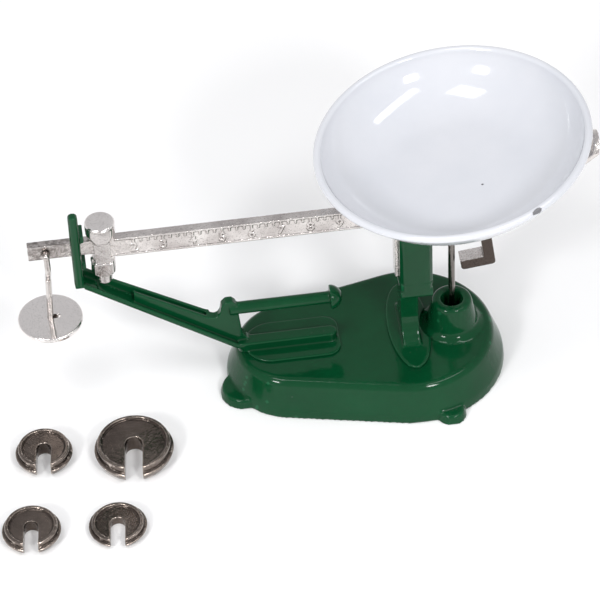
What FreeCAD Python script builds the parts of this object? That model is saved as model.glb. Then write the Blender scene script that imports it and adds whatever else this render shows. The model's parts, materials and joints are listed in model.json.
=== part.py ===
# Small counter scale: a graduated steelyard beam carries a round pan on a short
# arm, a hanger for slotted weights on the long arm, and a sliding poise between.
# Millimetres. +X runs along the beam towards the pan, +Z is up, z = 0 is the table.
# The origin is on the table, below the axis of the pan's stem.
import FreeCAD, Part
import math
import os

V = FreeCAD.Vector

# ---------------------------------------------------------------- clearances
RUN_GAP = 0.05          # radial gap of a pin that turns in its hole
SIDE_GAP = 0.25         # gap beside a part that swings between two walls
SLIDE_GAP = 0.06        # gap round the beam inside the poise
SEAT_GAP = 0.02         # gap under a part that is lifted off
CUT_OVER = 1.0          # how far a cutting tool runs past the face it cuts
LAP = 0.5               # how far two fused pieces run into each other

# ---------------------------------------------------------------- base
BASE_TOP = 4.5          # height of the base's flat top
BASE_SKIN = 0.8         # thickness of the top plate
BASE_WALL = 1.1         # thickness of the side wall
WIDE_R = 8.8            # radius of the wide end, at the top
NARROW_R = 5.9          # radius of the narrow end, at the top
END_SPAN = 13.0         # distance between the centres of the two ends
BASE_FLARE = 1.7        # how far the skirt spreads between top and table
EDGE_ROUND = 0.45       # rounding of the top edge
FOOT_BAND_IN = 0.15     # draft of the skirt over the height of the feet
FOOT_DRAFT = 0.35       # draft of each foot
DRILL_Z = 1.0           # holes in the top plate are drilled from this height up
FOOT_TALL = 1.1
# end of the base, degrees from +X about its centre, radius, depth inside the skirt line
FEET = (
    ("wide", -72, 1.7, 0.3),
    ("wide", 72, 1.7, 0.3),
    ("narrow", -156, 2.8, 1.2),
    ("narrow", 115, 1.7, 0.3),
)

# ---------------------------------------------------------------- lever system
SHORT_ARM = 4.1         # fulcrum to pan knife
ARM_RATIO = 9.65        # long arm over short arm
PIVOT_Z = 20.3          # height of fulcrum and pan knife
LINK_Z = 1.9            # height of the check link inside the base
PIN_R = 0.35            # all pivot pins

FULCRUM_X = -SHORT_ARM
HANGER_X = FULCRUM_X - SHORT_ARM * ARM_RATIO
WIDE_X = -4.75          # centre of the base's wide end
NARROW_X = WIDE_X - END_SPAN

# ---------------------------------------------------------------- guide boss
BOSS_TOP_R = 2.15
BOSS_FOOT_R = 2.95
BOSS_TALL = 3.9
BOSS_SKIRT = 0.6        # spread of the low cone round the boss's foot
BOSS_SKIRT_TALL = 0.5
BOSS_ROUND = 0.5        # rounding of the boss's top edge
STEM_R = 0.375
STEM_EYE_R = 0.8
EYE_PASS_GAP = 0.4      # gap that lets the stem's eye pass down the boss

# ---------------------------------------------------------------- pillar
PRONG_X0 = -5.95        # left face of the fork's prongs
PRONG_X1 = -2.35        # right face of the fork's prongs
PRONG_THICK = 1.3
BLOCK_THICK = 1.8       # width of the beam's fulcrum block, along Y
FORK_FLOOR = 12.3       # top of the fork's floor
FORK_FLOOR_THICK = 0.9
PILLAR_X0 = -5.85
PILLAR_X1 = -3.9
PILLAR_HALF = 1.35      # half depth of the stem, along Y
PILLAR_SPREAD = 6.1     # half depth of the foot, along Y
PILLAR_FLARE = 3.2      # height over which the stem spreads into the foot
PAD_TALL = 0.45
PAD_HALF_X = 2.35
PAD_OVER = 0.5          # pad beyond the tip of the foot
BELLY_OUT = 0.16        # point that the flare's arc passes, as shares of its spread
BELLY_UP = 0.34         # and of its height
HEAD_OVER = 1.6         # top of the prongs above the fulcrum
PRONG_CHAMFER = 0.4

# ---------------------------------------------------------------- beam
BEAM_THICK = 0.95
BEAM_TALL = 2.6
BEAM_TIP_TALL = 1.95    # height of the plain end that carries the hanger
BEAM_TOP = 23.55
TIP_REACH = 1.9         # beam end beyond the hanger's eye
BEAM_BORDER = 0.28      # height of the raised border lines
BEAM_RELIEF = 0.12      # how far border, ticks and numbers stand out
TICK_STEP = 3.16        # one numbered division
TICKS_PER_STEP = 4
TICK_COUNT = 9
TICK_WIDTH = 0.16
TICK_LONG = 0.55
TICK_SHORT = 0.32
BORDER_START = 1.2      # border and ticks begin this far from the scale's zero
GRADED_START = 0.4      # graduated part begins this far left of the poise
ZERO_SHIFT = 0.25       # zero of the scale, to the right of the poise
BLOCK_LOW = 13.3        # lowest point of the fulcrum block
BLOCK_X0 = -6.3
BLOCK_X1 = -2.45
YOKE_TALL = 2.2
YOKE_THICK = 0.8
YOKE_NOSE = 1.25        # yoke end beyond the pan knife
YOKE_ROOM = 0.2         # tines beyond the radius of the stem's eye

# ---------------------------------------------------------------- poise
POISE_X = -37.65
POISE_TOP_R = 1.62
POISE_WAIST_R = 1.12
POISE_KNOB_R = 1.35
POISE_TIP_R = 0.85
POISE_OVER = 2.3        # poise above the beam
POISE_UNDER = 2.35      # poise knob below the beam
POISE_TIP = 1.3
KNOB_SOFT = 0.35        # chamfers of the knob
HEAD_SOFT = 0.15        # chamfers of the head
TIP_SOFT = 0.2
WAIST_LOW = 0.1         # waist starts below the bar
WAIST_HIGH = 0.4        # waist ends below the bar's top
HEAD_SPREAD = 0.4       # head starts above the bar's top
HEAD_FULL = 0.9         # head has its full radius above the bar's top

# ---------------------------------------------------------------- hanger
WIRE_R = 0.34
HANGER_EYE_GAP = 0.08
HANGER_DROP = 10.0      # hanger's eye to the top of its disc
DISC_R = 3.55
DISC_THICK = 0.6
DISC_HOLE_X = 0.85
DISC_HOLE_R = 0.26
DISC_SOFT = 0.12
KINK_TOP = 2.6          # the wire's kink starts this far below the eye
KINK_LOW = 4.0          # and ends this far below it
WIRE_CLEAR = 0.12       # wire in front of the beam's relief
WIRE_END_OVER = 0.1
WIRE_LEAN = 0.05
HANG_OFFSET = -0.3      # the disc hangs a little to one side of its eye

# ---------------------------------------------------------------- arm and rack
ARM_HALF = 1.1
FLANGE_TALL = 0.75      # thickness of the arm's front flange
FLANGE_LIP = 0.35       # width of the flange's raised front edge
GROOVE_DEEP = 0.3       # groove between that edge and the rib
RIB_FRONT = 0.35        # front face of the rib, in front of the middle
RIB_BACK = 0.15         # back face of the rib, behind the middle
RIB_START = 1.9         # where the rib begins, from the top of the slope
SLOPE_START = 3.8       # top of the slope, from the guide's middle
SLOPE_DROP = 1.3        # top of the slope below the arm's underside at the guide
RIB_END = 2.6           # end of the rib, from the fin's middle
RACK_UNDER = 0.6        # end of the rib below the rack's axis
GUIDE_TOE = 0.4         # corner taken off under the guide
GUIDE_FOOT_TALL = 1.0   # block that joins the two posts
GUIDE_FOOT_OUT = 0.7    # its right end, from the guide's middle
GUIDE_FOOT_SUNK = 0.3   # posts start above the underside
ARM_FOOT_X = 0.2        # underside meets the plate, from the fin's middle
ARM_FOOT_TALL = 1.0
REAR_WALL_LAP = 0.4     # rear wall runs past the rib's end into the fin
WALL_INSIDE = 0.7       # inner face of the arm's rear wall
REAR_GROOVE_DEEP = 0.6
FIN_BACK = 0.7          # rear face of the fin
POISE_ROOM = 0.12       # gap round the poise's tip where it dips into the arm
FRONT_POST_THICK = 0.95
REAR_POST_THICK = 0.6
GUIDE_X = -40.45
GUIDE_THICK = 1.05
GUIDE_TALL_FRONT = 28.2
GUIDE_REAR_OVER = 0.75  # rear post above the beam
STOP_GAP_UP = 0.3       # beam to the upper stop
STOP_GAP_DOWN = 0.8     # beam to the lower stop
UPPER_STOP_TALL = 0.9
LOWER_STOP_TALL = 0.75
STOP_HALF = 0.2         # stop's reach to the left of the guide's middle
STOP_BITE = 0.3         # how deep a stop runs into each post
ARM_LOW_Z = 17.5        # underside of the arm at the guide
FIN_PEAK_Z = 11.85
FIN_X = -24.5
FIN_FOOT = 2.1          # right end of the fin's foot, from its middle
RACK_Z = 10.6
RACK_R = 0.7
RACK_STOP_R = 1.4       # domed knob at the rack's end
RACK_STOP_X = -12.8
PLATE_TALL = 0.3
PLATE_HALF = 3.0
PLATE_CORNER = 1.6      # rounded right corners of the plate
TONGUE_HALF = 0.75
TONGUE_TALL = 1.4
TONGUE_START = 0.6      # from the fin's middle
TONGUE_SHORT = 0.3      # tongue ends this far inside the plate
PLATE_INSET = 0.5       # plate inside the base's narrow end
PLATE_OVER = 0.2        # plate beyond the rack's stop
RIVET_INSET_LEFT = 2.6
RIVET_INSET_RIGHT = 1.0

# ---------------------------------------------------------------- pan and carrier
PAN_R = 14.85
PAN_BOTTOM_R = 9.6
PAN_DEEP = 5.0
PAN_THICK = 0.55
PAN_BEAD_R = 0.42
PAN_RIM_Z = 31.45       # height of the rim's centre
PAN_SHIFT = 0.15        # the dish lies a little off the centre of its seat
BEND_OUT = 1.9          # bend between floor and wall, outside
BEND_UP = 0.9
BEND_IN = 1.5           # the same bend, inside
BEND_SKIN = 0.495       # sheet's height above the outer bend
FLOOR_IN = 0.2          # inner floor is smaller than the outer one
LIP_LOW = 0.2           # top corners of the wall, round the bead
LIP_SOFT = 0.15
LIP_RISE = 0.1
PAN_TILT = 6.9          # the pan and its carrier lean, pan side up, in degrees
SEAT_ARM_R = 8.3
SEAT_ARM_WIDE = 2.6
SEAT_THICK = 0.8
SEAT_ROUND_R = 2.4      # round middle of the seat
HUB_TOP_R = 2.2
HUB_LOW_R = 1.7
HUB_TALL = 1.0
EAR_R = 1.9
EAR_BEND = 2.2          # the long arm turns up this far inside the pan's edge
EAR_BEND_ROUND = 0.3
EAR_GAP = 0.1           # ear's top outside the pan's edge
EAR_THICK = 0.65
EAR_KNEE = 0.35         # ear's knee, each side of the pan's edge
EAR_KNEE_OUT_Z = 1.4    # knee below the ear's tip, outside
EAR_KNEE_IN_Z = 1.2     # and inside
EAR_HOLE_R = 0.45
EAR_HOLE_HIGH = 0.7     # hole's axis below the tip, at its inner end
EAR_HOLE_LOW = 1.1      # and at its outer end
EAR_HOLE_REACH = 2.0
EAR_TALL = 2.0          # ear's tip above the seat
STIRRUP_POST = 1.2      # thickness of the stirrup's post
STIRRUP_SAG = 0.35      # lets the leaning stirrup reach its lowest height
STIRRUP_X1 = 4.75
STIRRUP_X0 = 0.95
STIRRUP_LOW_Z = 13.7
STIRRUP_BAR = 1.35
STIRRUP_DEEP = 1.7
STIRRUP_ROUND = 0.4     # rounding of the stirrup's lower corners

# ---------------------------------------------------------------- slotted weights
WEIGHT_WALL = 0.5       # width of the raised rim
WEIGHT_SINK = 0.3       # depth of the sunk face
WEIGHT_STEP = 0.35      # width of the ledge outside the rim
WEIGHT_LEDGE = 0.62     # height of the ledge, as a share of the weight's thickness
WEIGHT_SOFT = 0.12      # corners taken off
WEIGHT_UNDER = 0.65     # how much narrower a weight's underside is
WEIGHT_BELLY = 0.2      # how much narrower it is half way up to the ledge
WEIGHT_TURN = -95.5     # direction of every slot, in degrees
# name, x, y, radius, thickness, slot width
WEIGHTS = (
    ("weight_large", -36.6, -10.2, 4.35, 2.3, 1.9),
    ("weight_small_thick", -46.35, -9.1, 3.15, 2.0, 1.55),
    ("weight_small_medium", -48.55, -20.0, 3.2, 1.8, 1.55),
    ("weight_small_thin", -39.35, -20.55, 3.15, 1.35, 1.55),
)

# ---------------------------------------------------------------- check link
LINK_HALF = 0.5         # half width of the link's bar
LINK_TALL = 1.2
LINK_CHEEK = 0.4        # thickness of each cheek beside the stem's eye
BRIDGE_GAP = 0.45       # bridge between the cheeks, beside the stem's eye
BRIDGE_THICK = 0.5
CHEEK_GAP = 0.1
EYE_HALF = 0.45         # half width of the stem's eyes
LUG_THICK = 0.8
LUG_R = 1.1

# ---------------------------------------------------------------- fastenings
SCREW_R = 0.5
SCREW_HEAD_R = 0.95
SCREW_HEAD_TALL = 0.5
SCREW_BITE = 0.6        # how far a screw goes up into the pillar
SCREW_INSET = 3.4       # screw's axis inside the tip of the pillar's foot
SCREW_SLOT = 0.24       # width of the driver's slot
SCREW_SLOT_DEEP = 0.2
RIVET_R = 0.45
RIVET_HEAD_OVER = 0.35  # rivet head beyond its shank
RIVET_HEAD_TALL = 0.35
RIVET_BITE = 0.7        # how far a rivet goes up into the arm's tongue
BEARING_WALL = 0.45

# ---------------------------------------------------------------- worked-out places
BASE_CEILING = BASE_TOP - BASE_SKIN
BOSS_HOLE_R = STEM_EYE_R + EYE_PASS_GAP
PILLAR_X = (PILLAR_X0 + PILLAR_X1) / 2
SCREW_Y = PILLAR_SPREAD - SCREW_INSET
PILLAR_SCREWS = ((PILLAR_X, -SCREW_Y), (PILLAR_X, SCREW_Y))
FORK_IN = BLOCK_THICK / 2 + SIDE_GAP
FORK_OUT = FORK_IN + PRONG_THICK
BEARING_R = PIN_R + BEARING_WALL
LUG_Y0 = LINK_HALF + SIDE_GAP       # inner face of the link's lugs
PLATE_TOP = BASE_TOP + PLATE_TALL
TONGUE_Y = TONGUE_HALF - ARM_HALF   # the tongue runs on from the arm's front face
PLATE_X0 = NARROW_X - NARROW_R + PLATE_INSET
PLATE_X1 = RACK_STOP_X + PLATE_OVER
PLATE_RIVETS = (PLATE_X0 + RIVET_INSET_LEFT, PLATE_X1 - RIVET_INSET_RIGHT)
BAR_X0 = HANGER_X - TIP_REACH
GRADED_X0 = POISE_X - GRADED_START           # where the plain end meets the graduated part
TICK_X0 = POISE_X + ZERO_SHIFT            # zero of the scale of divisions
HANGER_Z = BEAM_TOP - BEAM_TIP_TALL / 2
YOKE_IN = STEM_EYE_R + YOKE_ROOM          # inner face of each tine of the yoke
YOKE_OUT = YOKE_IN + YOKE_THICK
BAR_LOW = BEAM_TOP - BEAM_TALL
KNOB_TOP = BAR_LOW - SLIDE_GAP
KNOB_LOW = KNOB_TOP - POISE_UNDER
POISE_LOW = KNOB_LOW - POISE_TIP
SEAT_TOP = PAN_RIM_Z - PAN_DEEP - SEAT_GAP
SEAT_LOW = SEAT_TOP - SEAT_THICK
HUB_LOW = SEAT_LOW - HUB_TALL
# the arm's sloping top and underside, each from its upper left to its lower right end
ARM_TOP = ((GUIDE_X + SLOPE_START, ARM_LOW_Z - SLOPE_DROP), (FIN_X - RIB_END, RACK_Z - RACK_UNDER))
ARM_UNDER = (
    (GUIDE_X - GUIDE_THICK / 2 + GUIDE_TOE, ARM_LOW_Z),
    (FIN_X + ARM_FOOT_X, BASE_TOP + ARM_FOOT_TALL),
)
# the fin's outline, from its foot over its peak to the arm
FIN_OUTLINE = (
    (FIN_X + FIN_FOOT, BASE_TOP),
    (FIN_X + FIN_FOOT, PLATE_TOP + 0.9),
    (FIN_X + 1.6, PLATE_TOP + 1.5),
    (FIN_X + 1.2, PLATE_TOP + 2.1),
    (FIN_X + 0.85, FIN_PEAK_Z - 1.0),
    (FIN_X + 0.7, FIN_PEAK_Z - 0.45),
    (FIN_X + 0.3, FIN_PEAK_Z),
    (FIN_X - 0.4, FIN_PEAK_Z),
    (FIN_X - 0.9, FIN_PEAK_Z - 0.5),
    (FIN_X - 1.1, RACK_Z - 0.3),
    (FIN_X - 1.35, RACK_Z - 0.75),
    (FIN_X - 1.7, RACK_Z - 0.9),
)


# ================================================================ helpers
def box(x0, x1, y0, y1, z0, z1):
    return Part.makeBox(x1 - x0, y1 - y0, z1 - z0, V(x0, y0, z0))


def rod(start, end, radius):
    path = end - start
    return Part.makeCylinder(radius, path.Length, start, path)


def y_pin(x, z, radius, y0, y1):
    return rod(V(x, y0, z), V(x, y1, z), radius)


def side_prism(points, y0, y1):
    """Extrude an outline in the XZ plane from y0 to y1."""
    corners = [V(x, y0, z) for x, z in points]
    wire = Part.makePolygon(corners + corners[:1])
    return Part.Face(wire).extrude(V(0, y1 - y0, 0))


def turned(points, x=0.0, y=0.0):
    """Revolve an outline of (radius, z) points about a vertical axis."""
    corners = [V(x + radius, y, z) for radius, z in points]
    wire = Part.makePolygon(corners + corners[:1])
    return Part.Face(wire).revolve(V(x, y, 0), V(0, 0, 1), 360)


def egg_wire(spread, z):
    """Outline of the base: two arcs joined by their common tangents."""
    turn = math.asin((WIDE_R - NARROW_R) / END_SPAN)
    wide = WIDE_R + spread
    narrow = NARROW_R + spread
    side = math.pi / 2 + turn

    def at(cx, radius, angle):
        return V(cx + radius * math.cos(angle), radius * math.sin(angle), z)

    wide_arc = Part.Arc(at(WIDE_X, wide, -side), at(WIDE_X, wide, 0), at(WIDE_X, wide, side))
    left_tip = at(NARROW_X, narrow, math.pi)
    narrow_arc = Part.Arc(at(NARROW_X, narrow, side), left_tip, at(NARROW_X, narrow, -side))
    upper = Part.LineSegment(at(WIDE_X, wide, side), at(NARROW_X, narrow, side))
    lower = Part.LineSegment(at(NARROW_X, narrow, -side), at(WIDE_X, wide, -side))
    return Part.Wire([wide_arc.toShape(), upper.toShape(), narrow_arc.toShape(), lower.toShape()])


def stadium(x0, x1, half, z0, z1):
    body = box(x0 + half, x1 - half, -half, half, z0, z1)
    for x in (x0 + half, x1 - half):
        body = body.fuse(Part.makeCylinder(half, z1 - z0, V(x, 0, z0)))
    return body.removeSplitter()


def save(name, shape):
    shape = shape.removeSplitter()
    shape.exportStep("parts/%s.step" % name)
    print(name, "solids", len(shape.Solids), "volume %.2f" % shape.Volume, "valid", shape.isValid())


def lean(shape):
    """Tip a shape made square to the pan into its leaning place."""
    placed = shape.copy()
    placed.rotate(V(0, 0, PAN_RIM_Z), V(0, 1, 0), -PAN_TILT)
    return placed


# ================================================================ base
def foot_place(end, turn, sunk):
    x, radius = {"wide": (WIDE_X, WIDE_R), "narrow": (NARROW_X, NARROW_R)}[end]
    out = radius + BASE_FLARE - sunk
    angle = math.radians(turn)
    return V(x + out * math.cos(angle), out * math.sin(angle), 0)


def make_base():
    sections = [
        egg_wire(BASE_FLARE, 0),
        egg_wire(BASE_FLARE - FOOT_BAND_IN, FOOT_TALL),
        egg_wire(EDGE_ROUND, BASE_TOP - EDGE_ROUND),
        egg_wire(0, BASE_TOP),
    ]
    body = Part.makeLoft(sections, True, True)
    for end, turn, radius, sunk in FEET:
        place = foot_place(end, turn, sunk)
        body = body.fuse(Part.makeCone(radius, radius - FOOT_DRAFT, FOOT_TALL, place))
    hollow = Part.makeLoft([egg_wire(BASE_FLARE - BASE_WALL, -CUT_OVER),
                            egg_wire(BASE_FLARE - BASE_WALL, 0),
                            egg_wire(-BASE_WALL, BASE_CEILING)], True, True)
    body = body.cut(hollow)
    boss = Part.makeCone(BOSS_FOOT_R, BOSS_TOP_R, BOSS_TALL, V(0, 0, BASE_TOP))
    rim = [edge for edge in boss.Edges if edge.BoundBox.ZMin > BASE_TOP + BOSS_TALL - LAP]
    boss = boss.makeFillet(BOSS_ROUND, rim)
    skirt = Part.makeCone(BOSS_FOOT_R + BOSS_SKIRT, BOSS_FOOT_R, BOSS_SKIRT_TALL, V(0, 0, BASE_TOP))
    body = body.fuse(boss.fuse(skirt))
    body = body.cut(Part.makeCylinder(BOSS_HOLE_R, BASE_TOP + BOSS_TALL, V(0, 0, DRILL_Z)))
    for sign in (-1, 1):
        y0, y1 = sorted((sign * LUG_Y0, sign * (LUG_Y0 + LUG_THICK)))
        lug = box(FULCRUM_X - LUG_R, FULCRUM_X + LUG_R, y0, y1, LINK_Z, BASE_CEILING + BASE_SKIN / 2)
        lug = lug.fuse(y_pin(FULCRUM_X, LINK_Z, LUG_R, y0, y1))
        body = body.fuse(lug)
    body = body.cut(y_pin(FULCRUM_X, LINK_Z, PIN_R, -LUG_Y0 - LUG_THICK, LUG_Y0 + LUG_THICK))
    for x, y in PILLAR_SCREWS:
        body = body.cut(Part.makeCylinder(SCREW_R, BASE_TOP, V(x, y, DRILL_Z)))
    for x in PLATE_RIVETS:
        body = body.cut(Part.makeCylinder(RIVET_R, BASE_TOP, V(x, TONGUE_Y, DRILL_Z)))
    return body


# ================================================================ pillar
def make_pillar():
    pad = Part.Ellipse(V(PILLAR_X, 0, BASE_TOP), PILLAR_SPREAD + PAD_OVER, PAD_HALF_X)
    pad_edge = pad.toShape()
    pad_edge.rotate(V(PILLAR_X, 0, 0), V(0, 0, 1), 90)
    foot = Part.Face(Part.Wire(pad_edge)).extrude(V(0, 0, PAD_TALL))
    z0 = BASE_TOP + PAD_TALL / 2
    z1 = BASE_TOP + PAD_TALL
    z2 = z1 + PILLAR_FLARE
    z3 = FORK_FLOOR
    belly = PILLAR_HALF + (PILLAR_SPREAD - PILLAR_HALF) * BELLY_OUT
    mid = z1 + PILLAR_FLARE * BELLY_UP

    def at(y, z):
        return V(PILLAR_X0, y, z)

    right = Part.Arc(at(PILLAR_SPREAD, z1), at(belly, mid), at(PILLAR_HALF, z2)).toShape()
    left = Part.Arc(at(-PILLAR_HALF, z2), at(-belly, mid), at(-PILLAR_SPREAD, z1)).toShape()
    edges = [
        Part.makeLine(at(-PILLAR_SPREAD, z1), at(-PILLAR_SPREAD, z0)),
        Part.makeLine(at(-PILLAR_SPREAD, z0), at(PILLAR_SPREAD, z0)),
        Part.makeLine(at(PILLAR_SPREAD, z0), at(PILLAR_SPREAD, z1)),
        right,
        Part.makeLine(at(PILLAR_HALF, z2), at(PILLAR_HALF, z3)),
        Part.makeLine(at(PILLAR_HALF, z3), at(-PILLAR_HALF, z3)),
        Part.makeLine(at(-PILLAR_HALF, z3), at(-PILLAR_HALF, z2)),
        left,
    ]
    web = Part.Face(Part.Wire(edges)).extrude(V(PILLAR_X1 - PILLAR_X0, 0, 0))
    boss_room = Part.makeCylinder(BOSS_FOOT_R + BOSS_SKIRT + SEAT_GAP, BOSS_TALL, V(0, 0, BASE_TOP))
    body = foot.cut(boss_room).fuse(web)
    floor_low = FORK_FLOOR - FORK_FLOOR_THICK
    body = body.fuse(box(PRONG_X0, PRONG_X1, -FORK_OUT, FORK_OUT, floor_low, FORK_FLOOR))
    head_top = PIVOT_Z + HEAD_OVER
    for sign in (-1, 1):
        y0, y1 = sorted((sign * FORK_IN, sign * FORK_OUT))
        prong = box(PRONG_X0, PRONG_X1, y0, y1, floor_low, head_top)
        upright = [edge for edge in prong.Edges if abs(edge.tangentAt(edge.FirstParameter).z) > 0.9]
        outer = [edge for edge in upright if abs(edge.CenterOfMass.y) > FORK_OUT - PRONG_CHAMFER]
        body = body.fuse(prong.makeChamfer(PRONG_CHAMFER, outer))
    body = body.cut(y_pin(FULCRUM_X, PIVOT_Z, BEARING_R, -FORK_OUT - CUT_OVER, FORK_OUT + CUT_OVER))
    for x, y in PILLAR_SCREWS:
        body = body.cut(Part.makeCylinder(SCREW_R, SCREW_BITE + CUT_OVER, V(x, y, BASE_TOP - CUT_OVER)))
    return body


def make_pillar_screws():
    low = BASE_CEILING - SCREW_HEAD_TALL
    half = SCREW_SLOT / 2
    solids = []
    for x, y in PILLAR_SCREWS:
        shank = Part.makeCylinder(SCREW_R, BASE_SKIN + SCREW_BITE, V(x, y, BASE_CEILING))
        head = Part.makeCylinder(SCREW_HEAD_R, SCREW_HEAD_TALL, V(x, y, low))
        slot = box(x - SCREW_HEAD_R, x + SCREW_HEAD_R, y - half, y + half, low, low + SCREW_SLOT_DEEP)
        solids.append(head.fuse(shank).cut(slot))
    return Part.makeCompound(solids)


def make_bearings():
    solids = []
    for sign in (-1, 1):
        y0, y1 = sorted((sign * FORK_IN, sign * FORK_OUT))
        bush = y_pin(FULCRUM_X, PIVOT_Z, BEARING_R, y0, y1)
        solids.append(bush.cut(y_pin(FULCRUM_X, PIVOT_Z, PIN_R + RUN_GAP, y0 - CUT_OVER, y1 + CUT_OVER)))
    return Part.makeCompound(solids)


# ================================================================ arm and rack
def line_z(x, start, end):
    """Height at x of the straight line from start to end, each (x, z)."""
    return start[1] + (end[1] - start[1]) * (x - start[0]) / (end[0] - start[0])


def arm_outline():
    x0 = GUIDE_X - GUIDE_THICK / 2
    foot_top = ARM_LOW_Z + GUIDE_FOOT_TALL
    return [
        (x0, ARM_LOW_Z + GUIDE_FOOT_TALL / 2),
        *ARM_UNDER,
        *FIN_OUTLINE,
        *reversed(ARM_TOP),
        (GUIDE_X + GUIDE_FOOT_OUT, foot_top),
        (x0, foot_top),
    ]


def trough(x0, x1, y0, y1, line, drop):
    """Cutter above a line that runs drop below a sloping edge of the arm."""
    z0 = line_z(x0, *line) - drop
    z1 = line_z(x1, *line) - drop
    return side_prism([(x0, z0), (x1, z1), (x1, GUIDE_TALL_FRONT), (x0, GUIDE_TALL_FRONT)], y0, y1)


def arm_web():
    """Sloping arm: a low flange in front, a rib, a rear wall, and the fin at its foot."""
    body = side_prism(arm_outline(), -ARM_HALF, ARM_HALF)
    x0 = GUIDE_X + GUIDE_THICK / 2
    x1 = FIN_X + FIN_FOOT
    rib_x0 = ARM_TOP[0][0] + RIB_START
    rib_x1 = ARM_TOP[1][0]
    fin_x0 = rib_x1 + REAR_WALL_LAP
    groove = GROOVE_DEEP - FLANGE_TALL
    front = -ARM_HALF - CUT_OVER
    rear = ARM_HALF + CUT_OVER
    body = body.cut(trough(x0, x1, front, -RIB_FRONT, ARM_UNDER, -FLANGE_TALL))
    body = body.cut(trough(x0, x1, -ARM_HALF + FLANGE_LIP, -RIB_FRONT, ARM_UNDER, groove))
    body = body.cut(trough(x0, rib_x0, -RIB_FRONT - LAP / 2, WALL_INSIDE, ARM_UNDER, groove))
    body = body.cut(trough(rib_x0, rib_x1, RIB_BACK, WALL_INSIDE, ARM_TOP, REAR_GROOVE_DEEP))
    body = body.cut(trough(fin_x0, x1, FIN_BACK, rear, ARM_UNDER, -FLANGE_TALL))
    dip = SHORT_ARM * ARM_RATIO * STOP_GAP_DOWN / (FULCRUM_X - GUIDE_X)
    place = V(POISE_X, 0, POISE_LOW - dip - SLIDE_GAP)
    return body.cut(Part.makeCylinder(POISE_TIP_R + POISE_ROOM, POISE_TIP + dip, place))


def guide_posts():
    """A tall front post and a low rear post, with a stop above and below the beam."""
    post_in = BEAM_THICK / 2 + SIDE_GAP
    front_out = post_in + FRONT_POST_THICK
    rear_out = post_in + REAR_POST_THICK
    x0 = GUIDE_X - GUIDE_THICK / 2
    x1 = GUIDE_X + GUIDE_THICK / 2
    foot = ARM_LOW_Z + GUIDE_FOOT_SUNK
    foot_top = ARM_LOW_Z + GUIDE_FOOT_TALL
    round_z = GUIDE_TALL_FRONT - GUIDE_THICK / 2
    front = box(x0, x1, -front_out, -post_in, foot, round_z)
    front = front.fuse(y_pin(GUIDE_X, round_z, GUIDE_THICK / 2, -front_out, -post_in))
    rear = box(x0, x1, post_in, rear_out, foot, BEAM_TOP + GUIDE_REAR_OVER)
    body = front.fuse(rear).fuse(box(x0, x1, -front_out, rear_out, foot, foot_top))
    upper_z = BEAM_TOP + STOP_GAP_UP
    lower_z = BEAM_TOP - BEAM_TIP_TALL - STOP_GAP_DOWN
    stop_x1 = POISE_X - POISE_TOP_R - SIDE_GAP
    for z0, z1 in ((upper_z, upper_z + UPPER_STOP_TALL), (lower_z - LOWER_STOP_TALL, lower_z)):
        reach = post_in + STOP_BITE
        body = body.fuse(box(GUIDE_X - STOP_HALF, stop_x1, -reach, reach, z0, z1))
    return body


def foot_plate():
    """Plate under the arm's foot: round end to the left, rounded corners to the right."""
    middle = (PLATE_X0 + PLATE_X1) / 2
    square = box(middle, PLATE_X1, -PLATE_HALF, PLATE_HALF, BASE_TOP, PLATE_TOP)
    corners = []
    for edge in square.Edges:
        upright = abs(edge.tangentAt(edge.FirstParameter).z) > 0.9
        if upright and edge.CenterOfMass.x > middle + LAP:
            corners.append(edge)
    plate = stadium(PLATE_X0, PLATE_X1, PLATE_HALF, BASE_TOP, PLATE_TOP)
    return plate.fuse(square.makeFillet(PLATE_CORNER, corners))


def make_arm():
    """The arm with its rack, its knob, and the plate and tongue that hold it to the base."""
    body = arm_web().fuse(guide_posts())
    knob_x = RACK_STOP_X - RACK_STOP_R / 2
    body = body.fuse(rod(V(FIN_X, 0, RACK_Z), V(knob_x + LAP, 0, RACK_Z), RACK_R))
    ball = Part.makeSphere(RACK_STOP_R, V(knob_x, 0, RACK_Z))
    low, high = RACK_Z - RACK_STOP_R, RACK_Z + RACK_STOP_R
    body = body.fuse(ball.common(box(knob_x, knob_x + RACK_STOP_R, -RACK_STOP_R, RACK_STOP_R, low, high)))
    body = body.fuse(foot_plate())
    tongue_x1 = PLATE_X1 - TONGUE_SHORT
    tongue = stadium(FIN_X + TONGUE_START, tongue_x1, TONGUE_HALF, BASE_TOP, BASE_TOP + TONGUE_TALL)
    tongue.translate(V(0, TONGUE_Y, 0))
    body = body.fuse(tongue)
    for x in PLATE_RIVETS:
        place = V(x, TONGUE_Y, BASE_TOP - CUT_OVER)
        body = body.cut(Part.makeCylinder(RIVET_R, CUT_OVER + RIVET_BITE, place))
    return body


def make_plate_rivets():
    """Two rivets from inside the base, blind in the tongue."""
    head_r = RIVET_R + RIVET_HEAD_OVER
    length = BASE_SKIN + RIVET_BITE
    solids = []
    for x in PLATE_RIVETS:
        shank = Part.makeCylinder(RIVET_R, length, V(x, TONGUE_Y, BASE_CEILING))
        head_place = V(x, TONGUE_Y, BASE_CEILING - RIVET_HEAD_TALL)
        solids.append(Part.makeCylinder(head_r, RIVET_HEAD_TALL, head_place).fuse(shank))
    return Part.makeCompound(solids)


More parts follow.
